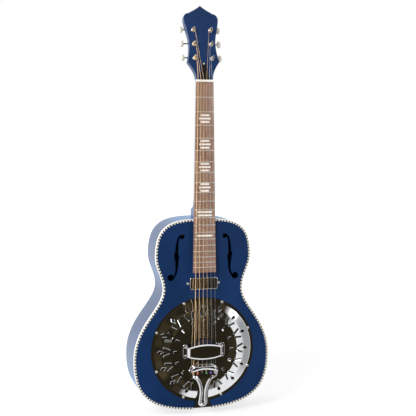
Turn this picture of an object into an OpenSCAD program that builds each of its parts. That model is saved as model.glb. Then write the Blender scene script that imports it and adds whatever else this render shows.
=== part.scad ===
// Resonator guitar with a wooden body, a spun cone under a pierced coverplate and open-geared tuners.
// The origin is the middle of the nut's front face on the fretboard surface.
// X runs to the treble side, Y runs through the body to its back and Z runs up the neck.

/* [Neck and fretboard] */
// String length from nut to saddle
scale_length = 650; // [635:1:665]
// Extra string length at the saddle
compensation = 1.5; // [0:0.5:4]
// Number of frets
fret_count = 20; // [18:1:20]
// Width of the fretboard at the nut
nut_w = 42.2; // [40:0.2:46]
// Width of the fretboard at its lower end
board_end_w = 56.4; // [54:0.2:60]
// Thickness of the fretboard
board_thick = 6; // [5:0.5:7]
// Fretboard left below the last fret
board_overrun = 13; // [8:1:16]
// Lean of the neck against the body's top
neck_angle = 1.8; // [1.4:0.1:2.2]
// Height of the fretboard surface above the top where the neck meets the body
board_rise = 7.6; // [7:0.1:9]
// Depth of the neck's wood at the nut
neck_depth_nut = 14.5; // [13:0.5:17]
// Depth of the neck's wood where the heel starts
neck_depth_heel = 17; // [15:0.5:20]
// Depth of the heel where it meets the body
heel_depth = 72; // [62:1:74]
// Length of the heel's hollow curve
heel_length = 46; // [40:1:70]
// Length of the heel at its full depth, next to the body
heel_cap_len = 22; // [12:1:30]
// Width of the fret crowns
fret_w = 2.3; // [1.8:0.1:2.8]
// Height of the fret crowns
fret_h = 1.1; // [0.8:0.1:1.4]
// Length of the nut along the neck
nut_len = 5; // [4:0.5:6]
// Height of the nut above the fretboard
nut_h = 3; // [2.6:0.1:3.4]

/* [Headstock] */
// Lean of the headstock behind the neck
head_tilt = 14; // [11:0.5:16]
// Thickness of the headstock
head_thick = 15; // [13:0.5:17]
// Half width of the headstock's ears
ear_half = 42.9; // [41:0.1:44]
// Half width of the headstock's waist
head_waist_half = 32.8; // [31:0.1:35]
// Half width of the flare above the nut
flare_half = 39.4; // [37:0.1:41]
// Length of the headstock from nut to peak
head_len = 187; // [182:1:195]
// Distance of the lowest tuner post above the nut
post_first = 53; // [51:0.5:56]
// Distance between neighbouring tuner posts
post_pitch = 35.5; // [34:0.5:36.5]
// Half of the distance between the two rows of posts
post_half = 21.3; // [20:0.1:22.5]

/* [Tuners] */
// Radius of the string posts
post_r = 3; // [2.8:0.1:3.2]
// Height of the string posts in front of the headstock
post_reach = 15; // [14:0.5:18]
// Teeth on each post gear
gear_teeth = 14; // [14:1:14]
// Pitch of the gear teeth divided by pi
gear_module = 0.8; // [0.78:0.01:0.82]
// Thickness of the post gears
gear_thick = 4; // [3.5:0.1:4.5]
// Radius at the middle of the worm's thread
worm_pitch_r = 2.4; // [2.3:0.05:2.5]
// Radius of the key shafts
shaft_r = 1.9; // [1.7:0.1:2]
// Thickness of the tuner plates
plate_thick = 1; // [0.8:0.1:1.4]
// Width of the tuner plates
plate_w = 18; // [17.4:0.2:20]
// Distance of the button centres from the middle of the headstock
button_x = 46.8; // [46:0.1:50]
// Size of a button across, up the headstock and through
button_size = [10.6, 17, 7]; // [6:0.1:18]

/* [Body] */
// Widest part of the upper bout
upper_bout = 239.5; // [232:0.5:250]
// Distance of the upper bout below the body's upper edge
upper_bout_at = 91; // [84:1:98]
// Narrowest part of the waist
waist = 200.5; // [190:0.5:212]
// Distance of the waist below the body's upper edge
waist_at = 171; // [164:1:178]
// Widest part of the lower bout
lower_bout = 343; // [334:0.5:356]
// Distance of the lower bout below the bridge
lower_bout_at = 19; // [10:1:28]
// Wood left between the coverplate and the tail end
tail_margin = 21.3; // [20:0.1:24]
// Depth of the body at the neck
depth_neck = 84; // [80:1:95]
// Depth of the body at the tail
depth_tail = 105; // [98:1:115]
// Thickness of the top
top_thick = 3.5; // [3:0.1:4]
// Thickness of the sides
side_thick = 2.5; // [2:0.1:3]
// Thickness of the back
back_thick = 3; // [2.5:0.1:4]
// Width of the checkered binding on the top
binding_w = 5.4; // [4.6:0.1:6]
// Depth of the binding on the sides
binding_depth = 6; // [5:0.5:7]
// Width of the linings in the corners of the body
lining_w = 6; // [5:0.5:7]
// Height of the linings
lining_h = 13; // [10:1:16]

/* [Resonator] */
// Diameter of the coverplate
cover_d = 260; // [258:0.5:266]
// Height of the coverplate's dome
cover_rise = 11; // [10:0.5:12]
// Thickness of the coverplate
cover_thick = 1; // [0.8:0.1:1.2]
// Diameter of the opening in the middle of the coverplate
cover_mouth_d = 66; // [64:1:68]
// Number of cut-out groups round the coverplate
motif_count = 16; // [12:1:16]
// Diameter of the spun cone
cone_d = 241.3; // [236:0.1:243]
// Depth of the cone's seat below the top
cone_seat = 18; // [15:1:22]
// Wall of the spun cone
cone_wall = 0.8; // [0.6:0.1:1]
// Diameter of the biscuit
biscuit_d = 57; // [50:1:60]
// Thickness of the biscuit
biscuit_thick = 8; // [7:0.5:9]
// Height of the strings above the top at the saddle
string_h = 23.3; // [22.8:0.1:25]
// Thickness of the saddle
saddle_thick = 3; // [2.5:0.1:3.5]

/* [Palm rest and tailpiece] */
// Width of the palm rest with its side walls
palm_w = 83; // [80:0.5:86]
// Height of the palm rest in the middle
palm_tall = 37; // [34:0.5:40]
// Height of the palm rest at its ends
palm_end_tall = 24; // [22:0.5:27]
// Distance of the palm rest's screws from the middle
palm_screw_x = 46.8; // [46.5:0.1:49]
// Distance between the two screws of a foot
palm_screw_pitch = 20.4; // [18:0.2:22]
// Thickness of the palm rest and its feet
palm_thick = 1.5; // [1.2:0.1:2]
// Width of the tailpiece's head
tail_head_w = 69; // [67:0.5:74]
// Width of the tailpiece's waist
tail_waist_w = 25.6; // [24:0.2:30]
// Width of the tailpiece at the body's end
tail_foot_w = 51; // [46:0.5:56]
// Thickness of the tailpiece
tail_thick = 1.8; // [1.5:0.1:2]
// Length of the tailpiece's flap on the tail end
tail_flap = 50; // [46:1:54]

/* [Pickup] */
// Length of the pickup cover
pickup_w = 69.5; // [67:0.5:72]
// Height of the pickup cover along the neck
pickup_tall = 28.5; // [26:0.5:30]
// Height of the pickup cover above the top
pickup_rise = 6.8; // [5.5:0.1:7.5]
// Distance of the pickup below the fretboard's end
pickup_drop = 28; // [25:0.5:31]
// Distance of the pickup's screws from the middle
pickup_screw_x = 39; // [38.5:0.1:41]

/* [Strings] */
// Distance between the outer strings at the nut
nut_spread = 35; // [33:0.2:37]
// Distance between the outer strings at the saddle
saddle_spread = 53.5; // [51:0.5:55]
// Distance between the outer strings at the tailpiece
tail_spread = 55.5; // [53:0.5:57]
// Height of the strings' undersides above the fretboard at the nut
nut_action = 1.6; // [1.5:0.1:1.9]

/* [Clearances] */
// Gap round a shaft or post in its bearing
running_gap = 0.05; // [0.03:0.01:0.09]
// Gap round a piece set into a pocket, hole or slot
seat_gap = 0.1; // [0.05:0.01:0.15]
// Gap between a string and what it winds round or lies in
string_gap = 0.15; // [0.1:0.01:0.2]

/* [Hidden] */
$fn = 64;
string_count = 6;
string_d = [1.42, 1.07, 0.81, 0.61, 0.43, 0.33];
wound_turns = [2.5, 2.5, 2.5, 3, 4, 4];
wound_count = 4;
joint_fret = 12;
joint_setback = 3.3;
sides = [-1, 1];

// Colours of the finishes
blue_lacquer = [0.13, 0.24, 0.47];
rosewood = [0.33, 0.22, 0.17];
cream = [0.93, 0.90, 0.80];
maple = [0.82, 0.68, 0.47];
spruce = [0.85, 0.74, 0.55];
mirror_chrome = [0.78, 0.78, 0.76];
nickel = [0.70, 0.69, 0.65];
bronze = [0.72, 0.52, 0.30];
spun_aluminium = [0.80, 0.81, 0.82];
bone = [0.96, 0.95, 0.91];
black_plastic = [0.08, 0.08, 0.08];
brass = [0.75, 0.60, 0.30];

// Places along the neck and the body
function fret_at(n) = scale_length * (1 - pow(2, -n / 12));
board_len = fret_at(fret_count) + board_overrun;
function board_half(s) = (nut_w + (board_end_w - nut_w) * s / board_len) / 2;
bridge_z = -(scale_length + compensation) * cos(neck_angle);
top_y = board_rise - fret_at(joint_fret) * sin(neck_angle);
body_top_z = -fret_at(joint_fret) * cos(neck_angle) - joint_setback;
cover_r = cover_d / 2;
tail_z = bridge_z - cover_r - tail_margin;
body_length = body_top_z - tail_z;
back_slope = atan((depth_tail - depth_neck) / body_length);
beyond = 20;

// Body outline: four curves from the middle of the upper edge round to the middle of the tail end.
// Each reach is how far a curve runs on before it turns.
shoulder_reach = 75;
shoulder_drop = 84;
upper_tuck = 29.5;
waist_rise = 30;
waist_fall = 46.5;
hip_rise = 85.5;
hip_drop = 79.5;
tail_reach = 142.6;
outline_steps = 14;
upper_mid = [0, body_top_z];
upper_side = [upper_bout / 2, body_top_z - upper_bout_at];
waist_side = [waist / 2, body_top_z - waist_at];
lower_side = [lower_bout / 2, bridge_z - lower_bout_at];
tail_mid = [0, tail_z];
outline_curves = [
    [upper_mid, upper_mid + [shoulder_reach, 0], upper_side + [0, shoulder_drop], upper_side],
    [upper_side, upper_side - [0, upper_tuck], waist_side + [0, waist_rise], waist_side],
    [waist_side, waist_side - [0, waist_fall], lower_side + [0, hip_rise], lower_side],
    [lower_side, lower_side - [0, hip_drop], tail_mid + [tail_reach, 0], tail_mid]
];

function curve_at(c, t) =
    pow(1 - t, 3) * c[0] + 3 * pow(1 - t, 2) * t * c[1] + 3 * (1 - t) * t * t * c[2] + pow(t, 3) * c[3];
function curve_run(c, t) =
    pow(1 - t, 2) * (c[1] - c[0]) + 2 * (1 - t) * t * (c[2] - c[1]) + t * t * (c[3] - c[2]);
function curve_points(c, steps) = [for (i = [0 : steps]) curve_at(c, i / steps)];
function inset_at(c, t, inset) =
    let (v = curve_run(c, t))
    curve_at(c, t) - inset * [-v.y, v.x] / norm(v);
function half_outline(inset) = [
    for (c = outline_curves, i = [0 : outline_steps - 1]) inset_at(c, i / outline_steps, inset)
];
function outline(inset) =
    let (half = half_outline(inset))
    concat(
        half,
        [tail_mid + [0, inset]],
        [for (i = [len(half) - 1 : -1 : 1]) [-half[i].x, half[i].y]]
    );
function mirrored(half) = concat(half, [for (i = [len(half) - 1 : -1 : 0]) [-half[i].x, half[i].y]]);
function arc(centre, r, from, to, steps) = [
    for (i = [0 : steps])
        let (a = from + (to - from) * i / steps)
        centre + r * [cos(a), sin(a)]
];

// Direction at each point of a path, and the path moved sideways to its left
function unit(v) = v / norm(v);
function run_at(p, i) =
    let (a = p[max(i - 1, 0)], b = p[i], c = p[min(i + 1, len(p) - 1)])
    unit((i > 0 ? unit(b - a) : 0 * b) + (i < len(p) - 1 ? unit(c - b) : 0 * b));
function moved_left(p, d) = [
    for (i = [0 : len(p) - 1])
        let (v = run_at(p, i), w = i > 0 ? unit(p[i] - p[i - 1]) : v)
        p[i] + d / max(0.5, v * w) * [-v.y, v.x]
];
function reversed(p) = [for (i = [len(p) - 1 : -1 : 0]) p[i]];
function band(p, left, right) = concat(moved_left(p, left), reversed(moved_left(p, -right)));

// Frames: the neck, the headstock and the bridge, whose third axis rises from the top to the player
module on_neck() rotate([-neck_angle, 0, 0]) children();
module on_head() on_neck() translate([0, head_drop, nut_len]) rotate([-head_tilt, 0, 0]) children();
module at_bridge() translate([0, top_y, bridge_z]) rotate([90, 0, 0]) children();
function turned(p, a) = [p.x, p.y * cos(a) + p.z * sin(a), -p.y * sin(a) + p.z * cos(a)];
function neck_point(p) = turned(p, neck_angle);
function head_point(p) = neck_point(turned(p, head_tilt) + [0, head_drop, nut_len]);
function bridge_point(p) = [p.x, top_y - p.z, bridge_z + p.y];

// A plate parallel to the top, from y0 backwards
module slab(y0, thick) translate([0, y0 + thick, 0]) rotate([90, 0, 0]) linear_extrude(thick) children();

// All that lies in front of the back's outer face, or of a plane that far before it
module before_back(gap) {
    reach = 2 * depth_tail;
    translate([0, top_y + depth_neck - gap, body_top_z])
        rotate([back_slope, 0, 0])
        translate([-lower_bout, -reach, -body_length - reach])
        cube([2 * lower_bout, reach, body_length + 2 * reach]);
}

// Rings joined into a closed skin of triangles, with a flat face at each end
function skin_faces(rings, n) = concat(
    [[for (j = [0 : n - 1]) j]],
    [
        for (i = [0 : rings - 2], j = [0 : n - 1])
            let (a = i * n + j, b = i * n + (j + 1) % n)
            [a, a + n, b + n]
    ],
    [
        for (i = [0 : rings - 2], j = [0 : n - 1])
            let (a = i * n + j, b = i * n + (j + 1) % n)
            [a, b + n, b]
    ],
    [[for (j = [n - 1 : -1 : 0]) (rings - 1) * n + j]]
);
module skin(rings) {
    polyhedron([for (ring = rings, p = ring) p], skin_faces(len(rings), len(rings[0])));
}

// A tube along a path; up is a direction that the path never takes
tube_sides = 6;
function tube_rings(path, r, up) = [
    for (i = [0 : len(path) - 1])
        let (t = run_at(path, i), across = unit(cross(t, up)), over = cross(across, t))
        [
            for (j = [0 : tube_sides - 1])
                let (a = -360 * j / tube_sides)
                path[i] + r * (cos(a) * across + sin(a) * over)
        ]
];

// A screw with a low domed head; its underside lies at the origin and its shank runs down
module round_screw(head_r, head_h, shank_r, length) {
    rotate_extrude()
        polygon([
            [0, -length], [shank_r, -length], [shank_r, 0], [head_r, 0],
            [head_r, head_h * 0.4], [head_r * 0.6, head_h], [0, head_h]
        ]);
}

// Coverplate screws, palm rest screws and pickup screws, in the bridge's frame
cover_screw_count = 8;
cover_screw_r = cover_r - 4;
cover_screw_turn = 22.5;
screw_r = 1.3;
screw_head_r = 3;
screw_head_h = 1.8;
cover_screw_len = 12;
pickup_z = -board_len * cos(neck_angle) - pickup_drop;
pickup_at = pickup_z - bridge_z;
module at_cover_screws() {
    for (i = [0 : cover_screw_count - 1])
        rotate(cover_screw_turn + i * 360 / cover_screw_count) translate([cover_screw_r, 0, 0]) children();
}
module at_palm_screws() {
    for (x = sides, y = sides)
        translate([x * palm_screw_x, y * palm_screw_pitch / 2, 0]) children();
}
module at_pickup_screws() {
    for (x = sides) translate([x * pickup_screw_x, pickup_at, 0]) children();
}
// A drilled hole down through whatever lies between two heights
module drill(r, low, high) translate([0, 0, low]) cylinder(r = r, h = high - low);

// Body shell
f_eye_upper = [53.6, 280.2];
f_eye_lower = [81.3, 181.3];
f_eye_upper_r = 6;
f_eye_lower_r = 8.5;
f_stem = [
    [f_eye_upper + [1.5, 4], f_eye_upper + [13.5, 2.5], [66.6, 250], [67.6, 228]],
    [[67.6, 228], [65.2, 212], [64.6, 186], f_eye_lower + [-1.5, -6.3]]
];
f_stem_half = 2.1;
f_stem_swell = 2.3;
f_notch_outer = [74.2, 234.4];
f_notch_inner = [59.9, 228.1];
f_notch_half = 24;

// One sound hole: two round eyes joined by a stem that swells towards its two pointed notches
module f_hole() {
    line = concat(curve_points(f_stem[0], 10), [for (i = [1 : 10]) curve_at(f_stem[1], i / 10)]);
    last = len(line) - 1;
    function half_w(i) = f_stem_half + f_stem_swell * pow(sin(180 * i / last), 2);
    left = [for (i = [0 : last]) let (v = run_at(line, i)) line[i] + half_w(i) * [-v.y, v.x]];
    right = [for (i = [last : -1 : 0]) let (v = run_at(line, i)) line[i] - half_w(i) * [-v.y, v.x]];
    mid = (f_notch_outer + f_notch_inner) / 2;
    translate(f_eye_upper) circle(f_eye_upper_r);
    translate(f_eye_lower) circle(f_eye_lower_r);
    polygon(concat(left, right));
    polygon([f_notch_outer, mid + [0, f_notch_half + 2], f_notch_inner, mid - [0, f_notch_half + 2]]);
}

module rounded_rectangle(w, h, r) {
    square([w, h - 2 * r], center = true);
    square([w - 2 * r, h], center = true);
    for (x = sides, y = sides) translate([x * (w / 2 - r), y * (h / 2 - r)]) circle(r);
}

cone_gap = 0.85;
well_bore_r = cone_d / 2 + cone_gap;
pickup_corner = 3.5;
pickup_hole_gap = 0.5;

module top_plate() {
    color(blue_lacquer)
    difference() {
        slab(top_y, top_thick) polygon(outline(binding_w));
        at_bridge() {
            drill(well_bore_r, -2 * top_thick, top_thick);
            for (x = sides) {
                scale([x, 1, 1]) translate([0, 0, -2 * top_thick]) linear_extrude(3 * top_thick) f_hole();
            }
            translate([0, pickup_at, -2 * top_thick])
                linear_extrude(3 * top_thick)
                rounded_rectangle(
                    pickup_w + 2 * pickup_hole_gap, pickup_tall + 2 * pickup_hole_gap, pickup_corner
                );
            at_cover_screws() drill(screw_r + seat_gap, -2 * top_thick, top_thick);
            at_pickup_screws() drill(screw_r + seat_gap, -2 * top_thick, top_thick);
        }
    }
}

module top_binding() {
    color(cream) {
        difference() {
            slab(top_y, binding_depth) polygon(outline(0));
            slab(top_y - beyond, depth_tail) polygon(outline(binding_w));
            slab(top_y + top_thick, depth_tail) polygon(outline(side_thick));
        }
    }
}

tenon_w = 22;
tenon_len = 24;
tenon_top = top_y + binding_depth + 0.5;
tenon_depth = 46;
tenon_root = 0.5;
// The tenon, or its mortise where a gap is given
module tenon(gap) {
    translate([-tenon_w / 2 - gap, tenon_top - gap, body_top_z - tenon_len - gap])
        cube([tenon_w + 2 * gap, tenon_depth + 2 * gap, tenon_len + tenon_root + 2 * gap]);
}

jack_drop = 40;
jack_y = top_y + jack_drop;
jack_r = 6;
module on_tail() translate([0, jack_y, tail_z]) children();

tail_screw_x = 15;
tail_screw_y = -24;
module at_tail_screws() {
    for (x = sides) on_tail() translate([x * tail_screw_x, tail_screw_y, 0]) rotate([180, 0, 0]) children();
}

// Two bent sides that meet on the middle of the neck block and end at a strip on the tail
end_strip_w = 44;
module side_wall() {
    difference() {
        intersection() {
            slab(top_y + binding_depth, depth_tail) polygon(outline(0));
            before_back(back_thick);
        }
        slab(top_y - beyond, 2 * depth_tail) polygon(outline(side_thick));
    }
}
module end_strip_space(gap) {
    translate([-end_strip_w / 2 - gap, top_y, tail_z - beyond])
        cube([end_strip_w + 2 * gap, 2 * depth_tail, 2 * beyond]);
}
module rim_sides() {
    color(blue_lacquer)
    difference() {
        side_wall();
        translate([-seat_gap / 2, top_y, body_top_z - beyond]) cube([seat_gap, 2 * depth_tail, 2 * beyond]);
        end_strip_space(seat_gap);
        tenon(seat_gap);
    }
}
module end_strip() {
    color(blue_lacquer)
    difference() {
        intersection() {
            side_wall();
            end_strip_space(0);
        }
        on_tail() drill(jack_r + seat_gap, -beyond, beyond);
        at_tail_screws() drill(screw_r + seat_gap, -beyond, beyond);
    }
}

module back_plate() {
    color(blue_lacquer)
    difference() {
        intersection() {
            slab(top_y + depth_neck / 2, depth_tail) polygon(outline(0));
            before_back(0);
        }
        before_back(back_thick);
    }
}

neck_block_w = 84;
neck_block_len = 46;
end_block_w = 110;
end_block_len = 16;
// The space that a block takes, from the inside of the sides
module neck_block_space() {
    translate([-neck_block_w / 2, top_y + top_thick, body_top_z - side_thick - neck_block_len])
        cube([neck_block_w, depth_tail, neck_block_len + beyond]);
}
module end_block_space() {
    translate([-end_block_w / 2, top_y + top_thick, tail_z - beyond])
        cube([end_block_w, depth_tail, side_thick + end_block_len + beyond]);
}
module inside_body() {
    intersection() {
        slab(top_y + top_thick, depth_tail) polygon(outline(side_thick));
        before_back(back_thick);
        children();
    }
}

module neck_block() {
    color(maple)
    difference() {
        inside_body() neck_block_space();
        tenon(seat_gap);
    }
}

module end_block() {
    color(maple)
    difference() {
        inside_body() end_block_space();
        on_tail() drill(jack_r + seat_gap, -beyond, 2 * beyond);
        at_tail_screws() drill(screw_r + seat_gap, -tail_screw_len - seat_gap, beyond);
    }
}

// Bars across the back
brace_count = 3;
brace_w = 8;
brace_h = 12;
brace_first = 95;
brace_pitch = 125;
brace_end_gap = 0.5;
module back_braces() {
    intersection() {
        slab(top_y + depth_neck / 3, depth_tail) polygon(outline(side_thick + lining_w + brace_end_gap));
        translate([0, top_y + depth_neck - back_thick, body_top_z])
            rotate([back_slope, 0, 0])
            for (i = [0 : brace_count - 1])
                translate([-lower_bout / 2, -brace_h, -brace_first - i * brace_pitch])
                cube([lower_bout, brace_h, brace_w]);
    }
}

// Strips that widen the glue joints of top and back, stopped at the two blocks, and the bars across the back
module linings() {
    color(spruce) back_braces();
    color(spruce)
    difference() {
        inside_body()
            union() {
                slab(top_y + top_thick, lining_h) polygon(outline(0));
                difference() {
                    slab(top_y + top_thick, depth_tail) polygon(outline(0));
                    before_back(back_thick + lining_h);
                }
            }
        slab(top_y - beyond, 2 * depth_tail) polygon(outline(side_thick + lining_w));
        neck_block_space();
        end_block_space();
    }
}

// Resonator
well_wall = 8.5;
ledge_w = 8;
ledge_thick = 8;
ledge_h = -(top_thick + cone_seat);
module soundwell_ring() {
    color(maple)
    at_bridge()
    difference() {
        rotate_extrude()
            polygon([
                [well_bore_r, -top_thick], [well_bore_r + well_wall, -top_thick],
                [well_bore_r + well_wall, ledge_h - ledge_thick],
                [well_bore_r - ledge_w, ledge_h - ledge_thick],
                [well_bore_r - ledge_w, ledge_h], [well_bore_r, ledge_h]
            ]);
        at_cover_screws() drill(screw_r + seat_gap, -cover_screw_len - seat_gap, 0);
    }
}

cone_flange_w = 8;
cone_top_r = biscuit_d / 2 + 2;
cone_top_h = -1.5;
biscuit_screw_r = 2;
module resonator_cone() {
    rim = cone_d / 2;
    roll = rim - cone_flange_w;
    upper = [
        [biscuit_screw_r + seat_gap, cone_top_h], [cone_top_r, cone_top_h],
        [cone_top_r + 5, cone_top_h - 2.5], [roll - 9, ledge_h + 3.2], [roll - 5, ledge_h + 3.2],
        [roll, ledge_h + cone_wall], [rim, ledge_h + cone_wall]
    ];
    color(spun_aluminium)
    at_bridge() rotate_extrude() polygon(concat(upper, [for (p = reversed(upper)) p - [0, cone_wall]]));
}

biscuit_top_h = cone_top_h + biscuit_thick;
saddle_slot = 5;
module biscuit() {
    color(maple)
    at_bridge()
    difference() {
        drill(biscuit_d / 2, cone_top_h, biscuit_top_h);
        translate([-biscuit_d, -saddle_thick / 2 - seat_gap, biscuit_top_h - saddle_slot])
            cube([2 * biscuit_d, saddle_thick + 2 * seat_gap, beyond]);
        drill(biscuit_screw_r + seat_gap, cone_top_h - 1, biscuit_top_h - saddle_slot - 1);
    }
}

function string_x(i, spread) = spread * (i / (string_count - 1) - 0.5);
function string_slot(i) = string_d[i] + 2 * string_gap;
saddle_foot_half = biscuit_d / 2 - 6;
saddle_top_half = saddle_spread / 2 + 3.2;
saddle_crest = 1;
module saddle() {
    color(maple)
    at_bridge()
    difference() {
        translate([0, saddle_thick / 2, 0]) rotate([90, 0, 0]) linear_extrude(saddle_thick)
            polygon(mirrored([
                [saddle_top_half, string_h + saddle_crest], [saddle_top_half, string_h - 4],
                [saddle_foot_half, biscuit_top_h + 1], [saddle_foot_half, biscuit_top_h - saddle_slot]
            ]));
        for (i = [0 : string_count - 1])
            translate([string_x(i, saddle_spread) - string_slot(i) / 2, -beyond, string_h - seat_gap])
            cube([string_slot(i), 2 * beyond, beyond]);
    }
}

// The coverplate rises from its flat rim over a steep band to a broad flat crown
cover_rim_w = 7;
cover_band_w = 18.5;
cover_crown_r = 60;
cover_shoulder_r = 86;
band_foot_r = cover_r - cover_rim_w;
band_head_r = band_foot_r - cover_band_w;
shoulder_fall = 0.7;
band_fall = 4.5;
cover_line = [
    [cover_mouth_d / 2, cover_rise - cover_thick], [cover_crown_r, cover_rise - cover_thick],
    [cover_shoulder_r, cover_rise - cover_thick - shoulder_fall],
    [band_head_r, cover_rise - cover_thick - band_fall],
    [band_foot_r, 0], [cover_r, 0]
];
diamond = [13.6, 8.2];
diamond_skew = 1.6;
diamond_r = (band_foot_r + band_head_r) / 2 - 6.2;
slot_size = [16.4, 3.5];
slot_r = band_head_r - 11.7;
slot_turn = 4.6;
slot_tilt = 17.4;
inner_slot_size = [7.8, 3.9];
inner_slot_r = slot_r - 20.8;
module motif() {
    translate([diamond_r, 0])
        polygon([
            [-diamond.x / 2, 0], [diamond_skew, -diamond.y / 2],
            [diamond.x / 2, 0], [diamond_skew, diamond.y / 2]
        ]);
    for (s = sides)
        rotate(s * slot_turn) translate([slot_r, 0]) rotate(s * slot_tilt) square(slot_size, center = true);
    translate([inner_slot_r, 0]) square(inner_slot_size, center = true);
}
module coverplate() {
    color(mirror_chrome)
    at_bridge()
    difference() {
        rotate_extrude() polygon(concat(cover_line, [for (p = reversed(cover_line)) p + [0, cover_thick]]));
        for (i = [0 : motif_count - 1])
            rotate(90 + i * 360 / motif_count)
            translate([0, 0, -1])
            linear_extrude(cover_rise + beyond)
            motif();
        at_cover_screws() drill(screw_r + seat_gap, -beyond, beyond);
        at_palm_screws() drill(palm_screw_r + seat_gap, -beyond, beyond);
    }
}

// Palm rest: a barrel-shaped plate on two walls, each with a round-ended foot
palm_clear = 2.2;
palm_wall = 3;
palm_foot_w = 11.6;
palm_foot_h = 35;
palm_screw_r = 1.2;
palm_under_h = string_h + string_d[0] + palm_clear;
palm_top_h = palm_under_h + palm_thick;
module barrel() {
    rise = (palm_tall - palm_end_tall) / 2;
    r = (pow(palm_w / 2, 2) + pow(rise, 2)) / (2 * rise);
    intersection() {
        square([palm_w, palm_tall], center = true);
        translate([0, palm_tall / 2 - r]) circle(r, $fn = 256);
        translate([0, r - palm_tall / 2]) circle(r, $fn = 256);
    }
}
module palm_rest() {
    color(mirror_chrome)
    at_bridge()
    difference() {
        union() {
            translate([0, 0, palm_under_h]) linear_extrude(palm_thick) barrel();
            for (x = sides) {
                translate([x * (palm_w - palm_wall) / 2 - palm_wall / 2, -palm_end_tall / 2, cover_rise])
                    cube([palm_wall, palm_end_tall, palm_top_h - cover_rise]);
                translate([x * palm_screw_x, 0, cover_rise])
                    linear_extrude(palm_thick) {
                        square([palm_foot_w, palm_foot_h - palm_foot_w], center = true);
                        for (y = sides)
                            translate([0, y * (palm_foot_h - palm_foot_w) / 2])
                            circle(palm_foot_w / 2);
                    }
            }
        }
        at_palm_screws() drill(palm_screw_r + seat_gap, 0, palm_under_h);
    }
}

// Tailpiece: one bent plate. Its side line runs up the tail end, over the coverplate and round a curled lip.
tail_end_at = -(cover_r + tail_margin);
head_under_h = cover_rise + 2.5;
lip_r = 4.3;
lip_at = -41;
lip_flap = 9;
ball_r = 2;
ball_at = lip_at - lip_flap - 5;
ball_h = head_under_h + lip_r;
tail_run = lip_at - tail_end_at;
tail_climb = head_under_h - cover_thick;
tail_line = concat(
    [
        [tail_end_at, -tail_flap], [tail_end_at, seat_gap],
        [tail_end_at + 0.157 * tail_run, cover_thick + 0.15 * tail_climb],
        [tail_end_at + 0.3 * tail_run, cover_thick + 0.37 * tail_climb],
        [tail_end_at + 0.46 * tail_run, cover_thick + 0.62 * tail_climb],
        [tail_end_at + 0.61 * tail_run, cover_thick + 0.85 * tail_climb],
        [tail_end_at + 0.75 * tail_run, head_under_h]
    ],
    arc([lip_at, head_under_h + lip_r], lip_r, -90, 90, 10),
    [[lip_at - lip_flap, head_under_h + 2 * lip_r]]
);
tail_corner = 12;
tail_claw = 6.5;
claw_at = -60;
tail_waist_at = -106;
tail_flare_at = -118;
tail_half_outline = concat(
    [[0, lip_at + beyond]],
    [[tail_head_w / 2 - tail_corner, lip_at + beyond]],
    arc([tail_head_w / 2 - tail_corner, lip_at + lip_r - tail_corner], tail_corner, 90, 0, 6),
    arc([tail_head_w / 2 - tail_claw, claw_at], tail_claw, 0, -90, 4),
    curve_points([
        [tail_head_w / 2 - tail_claw - 1, claw_at - tail_claw], [tail_head_w / 4, claw_at - 10],
        [tail_waist_w / 2, tail_waist_at + 18], [tail_waist_w / 2, tail_waist_at]
    ], 8),
    [
        [tail_waist_w / 2, tail_flare_at], [tail_foot_w / 2, tail_end_at],
        [tail_foot_w / 2, tail_end_at - beyond]
    ]
);
rib_w = 5.6;
rib_h = 2.4;
rib_head = [19.5, -66];
rib_waist = [5.6, -104];
rib_bulb_r = 7.6;
rib_bulb_at = -130.5;
rib_half_line = concat(
    curve_points([rib_head, rib_head - [8, 10], rib_waist + [1, 16], rib_waist], 8),
    arc([0, rib_bulb_at], rib_bulb_r, 30, -90, 8)
);
module rib_outline() {
    half = rib_half_line;
    line = concat(half, [for (i = [len(half) - 2 : -1 : 0]) [-half[i].x, half[i].y]]);
    polygon(band(line, rib_w / 2, rib_w / 2));
}
module tail_profile(thick) {
    translate([-tail_head_w, 0, 0])
        rotate([90, 0, 90])
        linear_extrude(2 * tail_head_w)
        polygon(band(tail_line, thick, 0));
}
module tailpiece() {
    through = 4 * beyond;
    rib_line = [for (p = tail_line) if (p.y >= 0 && p.x <= rib_head.x + beyond && p.y <= head_under_h) p];
    color(mirror_chrome)
    difference() {
        at_bridge() union() {
            intersection() {
                tail_profile(tail_thick);
                translate([0, 0, -through]) linear_extrude(2 * through) polygon(mirrored(tail_half_outline));
            }
            intersection() {
                translate([-tail_head_w, 0, 0]) rotate([90, 0, 90]) linear_extrude(2 * tail_head_w)
                    polygon(band(rib_line, tail_thick + rib_h, -tail_thick / 2));
                linear_extrude(through) rib_outline();
            }
        }
        at_bridge()
            for (i = [0 : string_count - 1])
                translate([string_x(i, tail_spread) - string_slot(i) / 2, lip_at, ball_h - string_d[i]])
                cube([string_slot(i), beyond, beyond]);
        on_tail() drill(jack_r + seat_gap, -beyond, beyond);
        at_tail_screws() drill(screw_r + seat_gap, -beyond, beyond);
    }
}

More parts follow.
